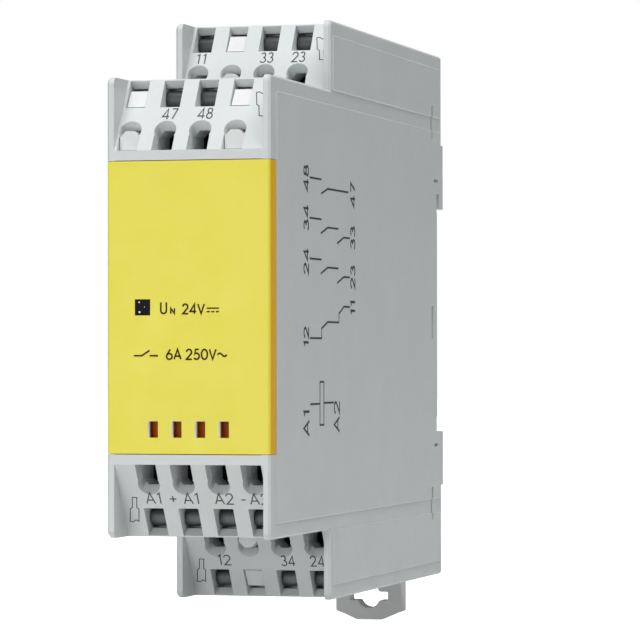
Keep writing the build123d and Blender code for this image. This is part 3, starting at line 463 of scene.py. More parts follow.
class StrokeFont:
    """Thin single-stroke numerals and signs, drawn on a cap height of 1."""

    GAP = 0.2
    ARC_STEP = 15
    FEWEST_STEPS = 4
    WAVE_STEPS = 12
    WAVE_LENGTH = 0.75
    WAVE_MIDDLE = 0.42
    WAVE_RISE = 0.12

    @classmethod
    def arc(cls, cx: float, cy: float, rx: float, ry: float, start: float, end: float) -> list[Point]:
        """Give points along an elliptic arc.

        Args:
            cx: centre across.
            cy: centre up.
            rx: half width.
            ry: half height.
            start: first angle in degrees.
            end: last angle in degrees.

        Returns:
            Points from start to end.
        """
        steps = max(cls.FEWEST_STEPS, int(abs(end - start) / cls.ARC_STEP))
        angles = [math.radians(start + (end - start) * i / steps) for i in range(steps + 1)]
        return [(cx + rx * math.cos(a), cy + ry * math.sin(a)) for a in angles]

    def wave(self) -> list[Point]:
        """Draw one wave of the alternating current sign.

        Returns:
            Its points, on a cap height of 1.
        """
        points = []
        for i in range(self.WAVE_STEPS + 1):
            turn = i / self.WAVE_STEPS
            rise = self.WAVE_RISE * math.sin(math.tau * turn)
            points.append((self.WAVE_LENGTH * turn, self.WAVE_MIDDLE + rise))
        return points

    def __init__(self) -> None:
        """Draw every sign once as (advance, strokes)."""
        arc = self.arc
        dashes = [[(x, 0.36), (x + 0.28, 0.36)] for x in (0.0, 0.41, 0.82)]
        bowl = arc(0.31, 0.27, 0.26, 0.27, 180, 360)
        self.signs: dict[str, tuple[float, list[list[Point]]]] = {
            "0": (0.66, [arc(0.33, 0.5, 0.31, 0.5, 90, 450)]),
            "1": (0.34, [[(0.06, 0.84), (0.26, 1.0), (0.26, 0.0)]]),
            "2": (0.60, [arc(0.3, 0.72, 0.27, 0.28, 175, -32) + [(0.03, 0.0), (0.6, 0.0)]]),
            "3": (0.58, [arc(0.27, 0.76, 0.22, 0.24, 155, -90) + arc(0.27, 0.26, 0.28, 0.26, 90, -155)]),
            "4": (0.68, [[(0.5, 0.0), (0.5, 1.0), (0.02, 0.24), (0.68, 0.24)]]),
            "5": (0.60, [[(0.54, 1.0), (0.2, 1.0), (0.12, 0.55)] + arc(0.28, 0.31, 0.3, 0.31, 115, -145)]),
            "6": (0.64, [[(0.42, 1.0), (0.09, 0.46)], arc(0.33, 0.29, 0.29, 0.29, 90, 450)]),
            "7": (0.58, [[(0.02, 1.0), (0.58, 1.0), (0.18, 0.0)]]),
            "8": (0.60, [arc(0.3, 0.76, 0.22, 0.24, 90, 450), arc(0.3, 0.26, 0.28, 0.26, 90, 450)]),
            "A": (0.72, [[(0.0, 0.0), (0.36, 1.0), (0.72, 0.0)], [(0.12, 0.32), (0.6, 0.32)]]),
            "V": (0.68, [[(0.0, 1.0), (0.34, 0.0), (0.68, 1.0)]]),
            "U": (0.62, [[(0.05, 1.0), (0.05, 0.27), *bowl, (0.57, 1.0)]]),
            "n": (0.46, [[(0.04, 0.0), (0.04, 0.55), (0.42, 0.0), (0.42, 0.55)]]),
            "+": (0.60, [[(0.02, 0.45), (0.58, 0.45)], [(0.3, 0.17), (0.3, 0.73)]]),
            "-": (0.42, [[(0.04, 0.42), (0.4, 0.42)]]),
            "~": (0.78, [self.wave()]),
            "=": (1.1, [[(0.0, 0.66), (1.1, 0.66)], *dashes]),
        }

    def width(self, words: str) -> float:
        """Give the width of a line of signs on cap height 1."""
        return sum(self.signs[c][0] for c in words) + self.GAP * (len(words) - 1)

    def strokes(
        self, words: str, height: float, centre: Point, turn: bool = False, squeeze: float = 1.0
    ) -> list[list[Point]]:
        """Lay a line of signs around a centre.

        Args:
            words: the signs.
            height: cap height in millimetres.
            centre: middle of the line on the print's plane.
            turn: True to run upward instead of to the right.
            squeeze: width of the line against its plain width.

        Returns:
            Strokes on the print's plane, in millimetres.
        """
        x = -self.width(words) / 2
        out = []
        for sign in words:
            advance, lines = self.signs[sign]
            for line in lines:
                flat = [((x + px) * height * squeeze, (py - 0.5) * height) for px, py in line]
                if turn:
                    flat = [(-v, u) for u, v in flat]
                out.append([(centre[0] + u, centre[1] + v) for u, v in flat])
            x += advance + self.GAP
        return out


@dataclass(frozen=True)
class PrintPlane:
    """A flat place for print: its origin, its two directions and its outward normal."""

    origin: Vector
    right: Vector
    up: Vector

    @property
    def normal(self) -> Vector:
        """Give the outward normal."""
        return self.right.cross(self.up).normalized()

    def at(self, point: Point, lift: float) -> Vector:
        """Give the place of a plane point lifted off the plane, in metres."""
        return (self.origin + self.right * point[0] + self.up * point[1] + self.normal * lift) * MM


class PrintSheet:
    """Collects printed strokes and builds them as one thin closed mesh.

    SINK and RISE are the heights of its bottom and top over the printed face, NEAR is a distance that
    counts as none, and MITRE keeps the outer end of a sharp corner short.
    """

    SINK = -0.03
    RISE = 0.025
    NEAR = 1e-6
    MITRE = 0.4

    def __init__(self, name: str) -> None:
        """Start an empty sheet with a name."""
        self.name = name
        self.mesh = bmesh.new()

    def stroke(self, plane: PrintPlane, line: Sequence[Point], width: float) -> None:
        """Add one stroke of even width with mitred corners.

        Args:
            plane: where it lies.
            line: its middle line in millimetres.
            width: its width in millimetres.
        """
        closed = len(line) > 2 and math.dist(line[0], line[-1]) < self.NEAR
        points = line[:-1] if closed else line
        count = len(points)
        rings = []
        for i, (px, py) in enumerate(points):
            before = points[i - 1] if i or closed else points[i]
            after = points[(i + 1) % count] if i < count - 1 or closed else points[i]
            a = Vector((px - before[0], py - before[1]))
            b = Vector((after[0] - px, after[1] - py))
            a = a.normalized() if a.length > self.NEAR else b.normalized()
            b = b.normalized() if b.length > self.NEAR else a
            tangent = (a + b).normalized() if (a + b).length > self.NEAR else a
            side = Vector((-tangent.y, tangent.x))
            reach = width / 2 / max(self.MITRE, abs(side.dot(Vector((-a.y, a.x)))))
            left = (px + side.x * reach, py + side.y * reach)
            right = (px - side.x * reach, py - side.y * reach)
            corners = [(left, self.SINK), (right, self.SINK), (right, self.RISE), (left, self.RISE)]
            rings.append([self.mesh.verts.new(plane.at(p, lift)) for p, lift in corners])
        last = count if closed else count - 1
        for i in range(last):
            one, two = rings[i], rings[(i + 1) % count]
            for k in range(len(one)):
                m = (k + 1) % len(one)
                self.mesh.faces.new((one[k], one[m], two[m], two[k]))
        if not closed:
            self.mesh.faces.new(rings[0])
            self.mesh.faces.new(list(reversed(rings[-1])))

    def strokes(self, plane: PrintPlane, lines: Sequence[Sequence[Point]], width: float) -> None:
        """Add several strokes of one width."""
        for line in lines:
            self.stroke(plane, line, width)

    def finish(self, material: bpy.types.Material, slot: str) -> bpy.types.Object:
        """Turn the sheet into a piece.

        Args:
            material: the ink.
            slot: the record's slot of what it is printed on.

        Returns:
            The piece.
        """
        bmesh.ops.recalc_face_normals(self.mesh, faces=self.mesh.faces)
        data = bpy.data.meshes.new(self.name)
        self.mesh.to_mesh(data)
        self.mesh.free()
        return piece_from_mesh(self.name, data, material, slot)


@dataclass
class TerminalMarking:
    """Numbers and signs on the four sloped terminal fields.

    The row of each field lies at upper_row or lower_row outward from the inner edge of its label band.
    Numbers that start with 2, 3 or 4 are as narrow as stated, against the font's own width.
    """

    font: StrokeFont
    ink: bpy.types.Material
    front: float = -91.0
    step: float = 29.6
    front_edge: float = 19.1
    rear_edge: float = 28.7
    band: float = 1.3
    fall: float = 0.625
    height: float = 1.62
    narrow: float = 0.82
    line: float = 0.17
    upper_row: float = 6.16
    lower_row: float = 5.75

    def plane(self, rear: bool, side: int) -> PrintPlane:
        """Give a sloped plane of one field with its origin at the label band.

        Args:
            rear: True for the rear tier.
            side: 1 for the upper field, -1 for the lower.

        Returns:
            The plane, whose up runs up the slope.
        """
        y = self.front + (self.step if rear else 0.0)
        z = (self.rear_edge if rear else self.front_edge) + self.band
        rise = Vector((0.0, side * self.fall, 1.0)).normalized()
        return PrintPlane(Vector((0.0, y, side * z)), Vector((1.0, 0.0, 0.0)), rise)

    def along(self, outward: float, side: int) -> float:
        """Turn a distance outward from the label edge into a distance up the plane."""
        return side * (outward - self.band) * math.hypot(1.0, self.fall)

    def build(self) -> bpy.types.Object:
        """Print the four fields.

        Returns:
            The piece with all numbers.
        """
        sheet = PrintSheet("terminal_numbers")
        rows = (
            (False, 1, (("47", -3.4), ("48", 1.45))),
            (True, 1, (("11", -8.3), ("33", 1.2), ("23", 5.75))),
            (False, -1, (("A1", -5.6), ("+", -2.95), ("A1", -0.45), ("A2", 4.0), ("-", 6.6), ("A2", 8.75))),
            (True, -1, (("12", -4.95), ("34", 4.2), ("24", 8.4))),
        )
        for rear, side, marks in rows:
            plane = self.plane(rear, side)
            row = self.upper_row if side > 0 else self.lower_row
            for words, x in marks:
                centre = (x, self.along(row, side))
                squeeze = 1.0 if words[0] in "1A+-" else self.narrow
                strokes = self.font.strokes(words, self.height, centre, squeeze=squeeze)
                sheet.strokes(plane, strokes, self.line)
        return sheet.finish(self.ink, "housing_grey")


@dataclass
class ConductorPictograms:
    """The small outline of a conductor with its ferrule beside each field.

    The body narrows to the ferrule over the taper, its other end is cut off unevenly, with the points of
    the cut given from that end, and shear leans the outline sideways.
    """

    marking: TerminalMarking
    ink: bpy.types.Material
    x: float = 8.65
    outward: float = 7.95
    body_width: float = 1.2
    body_height: float = 2.2
    tip_width: float = 0.62
    tip_height: float = 1.6
    taper: float = 0.25
    cut: tuple[Point, Point] = ((0.2, 0.25), (-0.15, -0.05))
    shear: float = 0.17
    line: float = 0.12

    def outline(self) -> list[Point]:
        """Give the closed outline, tip up.

        Returns:
            Its points around the middle of the body, in millimetres.
        """
        body, tip = self.body_width / 2, self.tip_width / 2
        shoulder = self.body_height / 2
        end = -shoulder
        waist = shoulder - self.taper
        top = shoulder + self.tip_height
        left = [(-body, end), (-body, waist), (-tip, shoulder), (-tip, top)]
        right = [(-x, z) for x, z in reversed(left)]
        return [*left, *right, *[(x, end + z) for x, z in self.cut], left[0]]

    def build(self) -> bpy.types.Object:
        """Print one pictogram in each margin.

        Returns:
            The piece with all four.
        """
        sheet = PrintSheet("conductor_pictograms")
        for rear in (False, True):
            for side in (1, -1):
                plane = self.marking.plane(rear, side)
                centre = self.marking.along(self.outward, side)
                x = side * self.x
                line = [(x + u + self.shear * v, centre - side * v) for u, v in self.outline()]
                sheet.stroke(plane, line, self.line)
        return sheet.finish(self.ink, "housing_grey")


@dataclass
class CoverPrint:
    """Ratings and plain signs on the yellow cover.

    Each of the signs is its words, cap height, centre and line width against the plain one. The contact
    is the symbol of a contact that closes.
    """

    font: StrokeFont
    ink: bpy.types.Material
    face: float = -91.0
    line: float = 0.22
    signs: tuple[tuple[str, float, Point, float], ...] = (
        ("U", 1.45, (-3.32, -0.08), 1.0),
        ("n", 1.25, (-2.1, -0.20), 1.0),
        ("24V", 1.24, (0.72, -0.22), 1.0),
        ("=", 1.5, (3.35, -0.38), 0.8),
        ("6A", 1.28, (-1.97, -6.1), 1.0),
        ("250V", 1.28, (1.75, -6.1), 1.0),
        ("~", 1.7, (4.62, -6.02), 1.0),
    )
    contact: tuple[tuple[Point, ...], ...] = (
        ((-7.37, -6.27), (-6.3, -6.27), (-5.25, -5.6)),
        ((-5.22, -6.27), (-4.09, -6.27)),
    )

    def build(self) -> bpy.types.Object:
        """Print the cover.

        Returns:
            The piece with all signs.
        """
        plane = PrintPlane(Vector((0.0, self.face, 0.0)), Vector((1.0, 0.0, 0.0)), Vector((0.0, 0.0, 1.0)))
        sheet = PrintSheet("cover_print")
        for words, height, centre, share in self.signs:
            sheet.strokes(plane, self.font.strokes(words, height, centre), self.line * share)
        sheet.strokes(plane, self.contact, self.line)
        return sheet.finish(self.ink, "cover_yellow")


@dataclass
class SideDiagram:
    """The wiring diagram on the right side: coil and four contacts with their numbers.

    Places on it are (y, z), and all its words run upward.
    """

    font: StrokeFont
    ink: bpy.types.Material
    face: float = 11.25
    forward: float = 1.1
    line: float = 0.34
    thin_share: float = 0.75
    text: float = 2.7
    small_text: float = 2.25
    front_column: float = -73.35
    rear_column: float = -49.15
    front_numbers: tuple[tuple[str, float], ...] = (("48", 17.35), ("34", 12.1), ("24", 6.3), ("12", -3.8))
    rear_numbers: tuple[tuple[str, float], ...] = (("47", 16.1), ("33", 10.15), ("23", 4.68), ("11", 0.4))
    coil_numbers: tuple[tuple[str, Point], ...] = (("A1", (-73.2, -15.2)), ("A2", (-57.75, -14.6)))
    pair_heights: tuple[float, ...] = (12.13, 6.7)

    def contact_lines(self) -> list[list[Point]]:
        """Give the symbols of the four contacts.

        Returns:
            Their lines, from the uppermost contact down.
        """
        lines = [[(-71.6, 17.52), (-65.7, 17.52)], [(-65.8, 15.6), (-62.4, 16.38), (-51.6, 16.38)]]
        for z in self.pair_heights:
            lines.append([(-71.6, z), (-65.7, z)])
            lines.append([(-66.0, z - 1.9), (-62.4, z - 1.0), (-56.9, z - 1.0)])
            lines.append([(-57.5, z - 3.0), (-54.0, z - 2.1), (-50.8, z - 2.1)])
        lines.append([(-71.5, -3.92), (-65.6, -3.92), (-65.6, -2.6), (-62.5, -1.7), (-56.6, -1.7)])
        lines.append([(-56.6, -1.7), (-56.6, -0.5), (-54.0, 0.5), (-50.8, 0.5)])
        return lines

    def coil_lines(self) -> list[list[Point]]:
        """Give the symbol of the coil.

        Returns:
            Its box and the two lines that lead to it.
        """
        front, back, top, bottom = -66.5, -64.5, -9.8, -15.6
        box = [(front, top), (back, top), (back, bottom), (front, bottom), (front, top)]
        return [box, [(-71.4, -12.75), (front, -12.75)], [(back, -12.65), (-59.4, -12.65)]]

    def build(self) -> list[bpy.types.Object]:
        """Print the diagram.

        Returns:
            The one piece with the whole diagram.
        """
        start = Vector((self.face, -self.forward, 0.0))
        plane = PrintPlane(start, Vector((0.0, 1.0, 0.0)), Vector((0.0, 0.0, 1.0)))
        sheet = PrintSheet("side_diagram")
        columns = ((self.front_column, self.front_numbers), (self.rear_column, self.rear_numbers))
        for y, numbers in columns:
            for words, z in numbers:
                sheet.strokes(plane, self.font.strokes(words, self.small_text, (y, z), True), self.line)
        sheet.strokes(plane, self.contact_lines() + self.coil_lines(), self.line * self.thin_share)
        for words, centre in self.coil_numbers:
            sheet.strokes(plane, self.font.strokes(words, self.text, centre, True), self.line)
        return [sheet.finish(self.ink, "housing_grey")]


class NodeRecipe:
    """A Geometry Nodes tree with named sizes that ends in one realised mesh."""

    def __init__(self, name: str) -> None:
        """Start the tree with its input for points and its output.

        Args:
            name: name of the tree.
        """
        self.tree = bpy.data.node_groups.new(name, "GeometryNodeTree")
        self.tree.interface.new_socket("Geometry", in_out="OUTPUT", socket_type="NodeSocketGeometry")
        self.tree.interface.new_socket("Points", in_out="INPUT", socket_type="NodeSocketGeometry")
        self.source = self.tree.nodes.new("NodeGroupInput")
        self.sink = self.tree.nodes.new("NodeGroupOutput")
        self.sizes: dict[str, float] = {}

    def size(self, name: str, value: float) -> None:
        """Add a named number input and note its value under the socket's identifier.

        Args:
            name: name of the input.
            value: a whole number, or a length in metres.
        """
        kind = "NodeSocketInt" if isinstance(value, int) else "NodeSocketFloat"
        socket = self.tree.interface.new_socket(name, in_out="INPUT", socket_type=kind)
        self.sizes[socket.identifier] = value

    def add(self, kind: str) -> bpy.types.Node:
        """Add a node."""
        return self.tree.nodes.new(kind)

    def link(self, source: Socket, target: Socket) -> None:
        """Join two sockets."""
        self.tree.links.new(source, target)

    def given(self, name: str) -> Socket:
        """Give the socket of a named input."""
        return self.source.outputs[name]

    def feed(self, node: bpy.types.Node, **names: str) -> None:
        """Join named inputs of the tree to a node.

        Args:
            node: the node that reads them.
            names: the node's socket, with underscores for spaces, and the tree's input.
        """
        for socket, name in names.items():
            self.link(self.given(name), node.inputs[socket.replace("_", " ")])

    def row(self, item: Socket, axis: str, material: bpy.types.Material) -> None:
        """Repeat an item along an axis by the inputs Count and Pitch, and close the tree.

        Args:
            item: geometry to repeat.
            axis: X, Y or Z.
            material: its finish.
        """
        line = self.add("GeometryNodeMeshLine")
        step = self.add("ShaderNodeCombineXYZ")
        self.feed(step, **{axis: "Pitch"})
        self.feed(line, Count="Count")
        self.link(step.outputs["Vector"], line.inputs["Offset"])
        self.repeat(line.outputs["Mesh"], item, material)

    def repeat(
        self, points: Socket, item: Socket, material: bpy.types.Material, turn: Triple = (0.0, 0.0, 0.0)
    ) -> None:
        """Put an item on every point, and end the tree in Realize Instances and Set Material.

        Args:
            points: geometry whose points are used.
            item: geometry to repeat.
            material: its finish.
            turn: rotation of every item, in radians about the axes.
        """
        place = self.add("GeometryNodeInstanceOnPoints")
        place.inputs["Rotation"].default_value = turn
        self.link(points, place.inputs["Points"])
        self.link(item, place.inputs["Instance"])
        realise = self.add("GeometryNodeRealizeInstances")
        paint = self.add("GeometryNodeSetMaterial")
        paint.inputs["Material"].default_value = material
        self.link(place.outputs["Instances"], realise.inputs["Geometry"])
        self.link(realise.outputs["Geometry"], paint.inputs["Geometry"])
        self.link(paint.outputs["Geometry"], self.sink.inputs["Geometry"])

    def bake(self, name: str, start: bpy.types.Mesh | None = None) -> bpy.types.Mesh:
        """Run the tree and give its plain mesh.

        Args:
            name: name of the mesh.
            start: mesh whose points the tree reads, or None for an empty one.

        Returns:
            The realised mesh.
        """
        holder = bpy.data.objects.new(name, start or bpy.data.meshes.new(name + "_seed"))
        modifier = holder.modifiers.new("recipe", "NODES")
        modifier.node_group = self.tree
        for identifier, value in self.sizes.items():
            modifier[identifier] = value
        return evaluated(holder)


@dataclass
class CoilTurns:
    """Wire turns laid round the coil former, one rounded square turn repeated along the coil."""

    material: bpy.types.Material
    centre: Triple = (0.8, -44.5, -14.5)
    size: float = 9.6
    corner: float = 2.0
    corner_points: int = 6
    wire: float = 0.36
    wire_sides: int = 8
    length: float = 17.6

    def build(self) -> bpy.types.Object:
        """Repeat the turn along the coil.

        Returns:
            The piece with all turns.
        """
        recipe = NodeRecipe("coil_turns")
        count = int(self.length / self.wire)
        recipe.size("Count", count)
        recipe.size("Pitch", self.wire * MM)
        recipe.size("Turn Size", self.size * MM)
        recipe.size("Corner", self.corner * MM)
        recipe.size("Corner Points", self.corner_points)
        recipe.size("Wire Radius", self.wire / 2 * MM)
        recipe.size("Wire Sides", self.wire_sides)
        square = recipe.add("GeometryNodeCurvePrimitiveQuadrilateral")
        recipe.feed(square, Width="Turn Size", Height="Turn Size")
        fillet = recipe.add("GeometryNodeFilletCurve")
        fillet.mode = "POLY"
        recipe.link(square.outputs["Curve"], fillet.inputs["Curve"])
        recipe.feed(fillet, Radius="Corner", Count="Corner Points")
        section = recipe.add("GeometryNodeCurvePrimitiveCircle")
        recipe.feed(section, Radius="Wire Radius", Resolution="Wire Sides")
        turn = recipe.add("GeometryNodeCurveToMesh")
        recipe.link(fillet.outputs["Curve"], turn.inputs["Curve"])
        recipe.link(section.outputs["Curve"], turn.inputs["Profile Curve"])
        recipe.row(turn.outputs["Mesh"], "Z", self.material)
        mesh = recipe.bake("coil_turns")
        x, y, z = self.centre
        mesh.transform(Matrix.Translation((x * MM, y * MM, (z - self.wire * (count - 1) / 2) * MM)))
        outward(mesh)
        return piece_from_mesh("coil_turns", mesh, self.material, "magnet_wire")


@dataclass
class SlotLiners:
    """Thin pale liners in the cover's four slots, one frame repeated along a row."""

    material: bpy.types.Material
    width: float = 1.4
    height: float = 2.18
    shift: float = 0.13
    pitch: float = 3.2
    count: int = 4
    wall: float = 0.25
    depth: float = 1.3
    front: float = -90.98
    z: float = -15.9

    def build(self) -> bpy.types.Object:
        """Repeat the frame along the row.

        Returns:
            The piece with all liners.
        """
        recipe = NodeRecipe("slot_liners")
        recipe.size("Count", self.count)
        recipe.size("Pitch", self.pitch * MM)
        recipe.size("Width", (self.width + self.wall) * MM)
        recipe.size("Height", (self.height + self.wall) * MM)
        recipe.size("Wall", self.wall * MM)
        recipe.size("Depth", self.depth * MM)
        path = recipe.add("GeometryNodeCurvePrimitiveQuadrilateral")
        recipe.feed(path, Width="Width", Height="Height")
        section = recipe.add("GeometryNodeCurvePrimitiveQuadrilateral")
        recipe.feed(section, Width="Wall", Height="Depth")
        liner = recipe.add("GeometryNodeCurveToMesh")
        recipe.link(path.outputs["Curve"], liner.inputs["Curve"])
        recipe.link(section.outputs["Curve"], liner.inputs["Profile Curve"])
        recipe.row(liner.outputs["Mesh"], "X", self.material)
        mesh = recipe.bake("slot_liners")
        start = self.shift - self.pitch * (self.count - 1) / 2
        move = Matrix.Translation((start * MM, (self.front + self.depth / 2) * MM, self.z * MM))
        mesh.transform(move @ Matrix.Rotation(math.pi / 2, 4, "X"))
        outward(mesh)
        return piece_from_mesh("slot_liners", mesh, self.material, "plug_white")


@dataclass
class SlotShadePanes:
    """Brown plates behind the four slots that paint the shade inside them with a painted warm reflection of
    the yellow cover, one plate repeated along the row.
    """

    material: bpy.types.Material
    width: float = 1.6
    height: float = 2.4
    thickness: float = 0.3
    pitch: float = 3.2
    count: int = 4
    depth: float = -89.35
    z: float = -15.8

    def build(self) -> bpy.types.Object:
        """Repeat the pane along the row.

        Returns:
            The piece with all panes.
        """
        recipe = NodeRecipe("slot_shade_panes")
        recipe.size("Count", self.count)
        recipe.size("Pitch", self.pitch * MM)
        recipe.size("Width", self.width * MM)
        recipe.size("Height", self.height * MM)
        recipe.size("Thickness", self.thickness * MM)
        shade_pane = recipe.add("GeometryNodeMeshCube")
        sides = recipe.add("ShaderNodeCombineXYZ")
        recipe.feed(sides, X="Width", Y="Thickness", Z="Height")
        recipe.link(sides.outputs["Vector"], shade_pane.inputs["Size"])
        recipe.row(shade_pane.outputs["Mesh"], "X", self.material)
        mesh = recipe.bake("slot_shade_panes")
        start = -self.pitch * (self.count - 1) / 2
        mesh.transform(Matrix.Translation((start * MM, self.depth * MM, self.z * MM)))
        outward(mesh)
        return piece_from_mesh("slot_shade_panes", mesh, self.material, "cover_yellow")


@dataclass
class SolderJoints:
    """Solder cones on the back of the board over the relay's pins, one cone on each point."""

    material: bpy.types.Material
    board_back: float = -9.3
    relay_y: float = -44.5
    half_row: float = 3.5
    rows: tuple[float, ...] = (-24.4, 3.5, 9.5, 15.5, 21.5)
    radius: float = 0.8
    tip: float = 0.3
    height: float = 0.45
    sides: int = 20

    def pins(self) -> bpy.types.Mesh:
        """Give a mesh with one point on every pin.

        Returns:
            The points.
        """
        points = bpy.data.meshes.new("pin_points")
        places = [
            (self.board_back * MM, (self.relay_y + side * self.half_row) * MM, z * MM)
            for z in self.rows
            for side in (-1, 1)
        ]
        points.from_pydata(places, [], [])
        return points

    def build(self) -> bpy.types.Object:
        """Put a cone on every pin.

        Returns:
            The piece with all joints.
        """
        recipe = NodeRecipe("solder_joints")
        recipe.size("Radius", self.radius * MM)
        recipe.size("Tip", self.tip * MM)
        recipe.size("Height", self.height * MM)
        recipe.size("Sides", self.sides)
        cone = recipe.add("GeometryNodeMeshCone")
        recipe.feed(cone, Vertices="Sides", Radius_Top="Tip", Radius_Bottom="Radius", Depth="Height")
        to_the_left = (0.0, -math.pi / 2, 0.0)
        recipe.repeat(recipe.given("Points"), cone.outputs["Mesh"], self.material, to_the_left)
        mesh = recipe.bake("solder_joints", self.pins())
        outward(mesh)
        return piece_from_mesh("solder_joints", mesh, self.material, "tinned_copper")


@dataclass(frozen=True)
class SoftEdges:
    """Makes a merged copy of a CAD node with rounded edges and even shading on its flat faces.

    MERGE is the distance in metres at which the node's points become one, FLAT the angle in degrees up
    to which its facets become one face, and EVENNESS how far large faces lead the shading, in percent.
    """

    MERGE = 2e-6
    FLAT = 0.6
    EVENNESS = 100

    width: float
    angle: float = 32.0
    segments: int = 2

    def build(self, node: str, material: bpy.types.Material, slot: str, body: str) -> bpy.types.Object:
        """Copy, round and smooth one node.

        Args:
            node: name of the CAD node.
            material: its finish.
            slot: its slot.
            body: body that carries it.

        Returns:
            The piece that stands for the node.
        """
        mesh = frame["nodes"][node].data.copy()
        work = bmesh.new()
        work.from_mesh(mesh)
        bmesh.ops.remove_doubles(work, verts=work.verts, dist=self.MERGE)
        flat = math.radians(self.FLAT)
        bmesh.ops.dissolve_limit(work, angle_limit=flat, verts=work.verts, edges=work.edges)
        work.to_mesh(mesh)
        work.free()
        mesh.shade_smooth()
        holder = bpy.data.objects.new(node + "_work", mesh)
        bevel = holder.modifiers.new("round", "BEVEL")
        bevel.width = self.width * MM
        bevel.segments = self.segments
        bevel.limit_method = "ANGLE"
        bevel.angle_limit = math.radians(self.angle)
        bevel.use_clamp_overlap = True
        weighted = holder.modifiers.new("even", "WEIGHTED_NORMAL")
        weighted.weight = self.EVENNESS
        piece = piece_from_mesh(node + "_soft", evaluated(holder), material, slot, body)
        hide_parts(node)
        return piece


@dataclass(frozen=True)
class DressedNode:
    """A CAD node with the body that carries it and its material slot."""

    name: str
    body: str
    slot: str


class Dresser:
    """Gives CAD nodes their finishes, with rounded edges where a softening is stated."""

    def __init__(self, finishes: Finishes) -> None:
        """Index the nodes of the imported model.

        Args:
            finishes: all finishes.
        """
        self.finishes = finishes
        slots = {part["node"]: part["material_slot"] for part in frame["record"]["subparts"]}
        bodies = frame["record"]["behaviour"]["bodies"]
        self.nodes = {
            node: DressedNode(node, body, slots[node]) for body, members in bodies.items() for node in members
        }

    def named(self, *beginnings: str) -> list[DressedNode]:
        """Give the nodes whose names start in one of these ways."""
        return [self.nodes[name] for name in sorted(self.nodes) if name.startswith(beginnings)]

    def dress(self, nodes: list[DressedNode], soft: SoftEdges | None = None) -> list[bpy.types.Object]:
        """Finish nodes, as they are or as softened copies.

        Args:
            nodes: the nodes to finish.
            soft: how to round their edges, or None to show the CAD node itself.

        Returns:
            The softened pieces.
        """
        pieces = []
        for node in nodes:
            material = self.finishes.by_slot[node.slot]
            shown = frame["nodes"][node.name].data
            shown.materials.clear()
            shown.materials.append(material)
            if soft is not None:
                pieces.append(soft.build(node.name, material, node.slot, node.body))
        return pieces


@dataclass
class Housing:
    """The grey mouldings: stepped shell and rear base."""

    dresser: Dresser
    shell_edges: SoftEdges = SoftEdges(0.05)
    base_edges: SoftEdges = SoftEdges(0.06)

    def build(self) -> list[bpy.types.Object]:
        """Dress both mouldings.

        Returns:
            Their pieces.
        """
        shell = self.dresser.dress(self.dresser.named("housing_shell"), self.shell_edges)
        return shell + self.dresser.dress(self.dresser.named("rear_base"), self.base_edges)


@dataclass
class FrontCover:
    """The yellow cover with its slots and dark window. Its forward faces get the lemon finish as the lit
    copy, and its other faces keep a deeper orange finish as painted shade.

    A face counts as looking forward when its normal's forward share is over facing. Each glint of the window
    is a painted highlight, a small white sphere given by its x, z and radius, and bead_depth is its depth
    against its width.
    """

    dresser: Dresser
    font: StrokeFont
    edges: SoftEdges = SoftEdges(0.10)
    window_edges: SoftEdges = SoftEdges(0.06)
    facing: float = 0.3
    glints: tuple[Triple, ...] = ((-6.66, 0.66, 0.11), (-6.62, -0.62, 0.13), (-5.95, 0.05, 0.06))
    window_front: float = -90.95
    bead_depth: float = 0.35

    def paint_lit_and_shaded_faces(self, cover: bpy.types.Object) -> None:
        """Give the faces that look forward the lemon finish, a lit copy, so that the other faces keep the
        orange finish as painted shade.

        Args:
            cover: the cover's piece, which is changed in place.
        """
        cover.data.materials.append(self.dresser.finishes.cover_face_lit_copy)
        for polygon in cover.data.polygons:
            polygon.material_index = 1 if polygon.normal.y < -self.facing else 0

    def painted_glints(self) -> bpy.types.Object:
        """Make tiny white spheres on the window that paint its highlights.

        Returns:
            Their piece.
        """
        work = bmesh.new()
        flat = Matrix.Diagonal((1.0, self.bead_depth, 1.0, 1.0))
        for x, z, radius in self.glints:
            place = Matrix.Translation((x * MM, self.window_front * MM, z * MM))
            bmesh.ops.create_icosphere(work, subdivisions=2, radius=radius * MM, matrix=place @ flat)
        mesh = bpy.data.meshes.new("window_painted_glints")
        work.to_mesh(mesh)
        work.free()
        return piece_from_mesh("window_painted_glints", mesh, self.dresser.finishes.glint_paint, "window_dark")

    def build(self) -> list[bpy.types.Object]:
        """Dress the cover and add what is set into it.

        Returns:
            All its pieces.
        """
        cover = self.dresser.dress(self.dresser.named("front_cover"), self.edges)
        # Forward faces get the lemon lit copy, and the other faces keep the orange painted shade.
        self.paint_lit_and_shaded_faces(cover[0])
        window = self.dresser.dress(self.dresser.named("light_guide"), self.window_edges)
        finishes = self.dresser.finishes
        liners = SlotLiners(finishes.by_slot["plug_white"]).build()
        # Plates of painted shade and painted warm reflection behind the slots.
        shade_panes = SlotShadePanes(finishes.shade_pane).build()
        words = CoverPrint(self.font, finishes.cover_ink).build()
        return cover + window + [self.painted_glints(), liners, shade_panes, words]


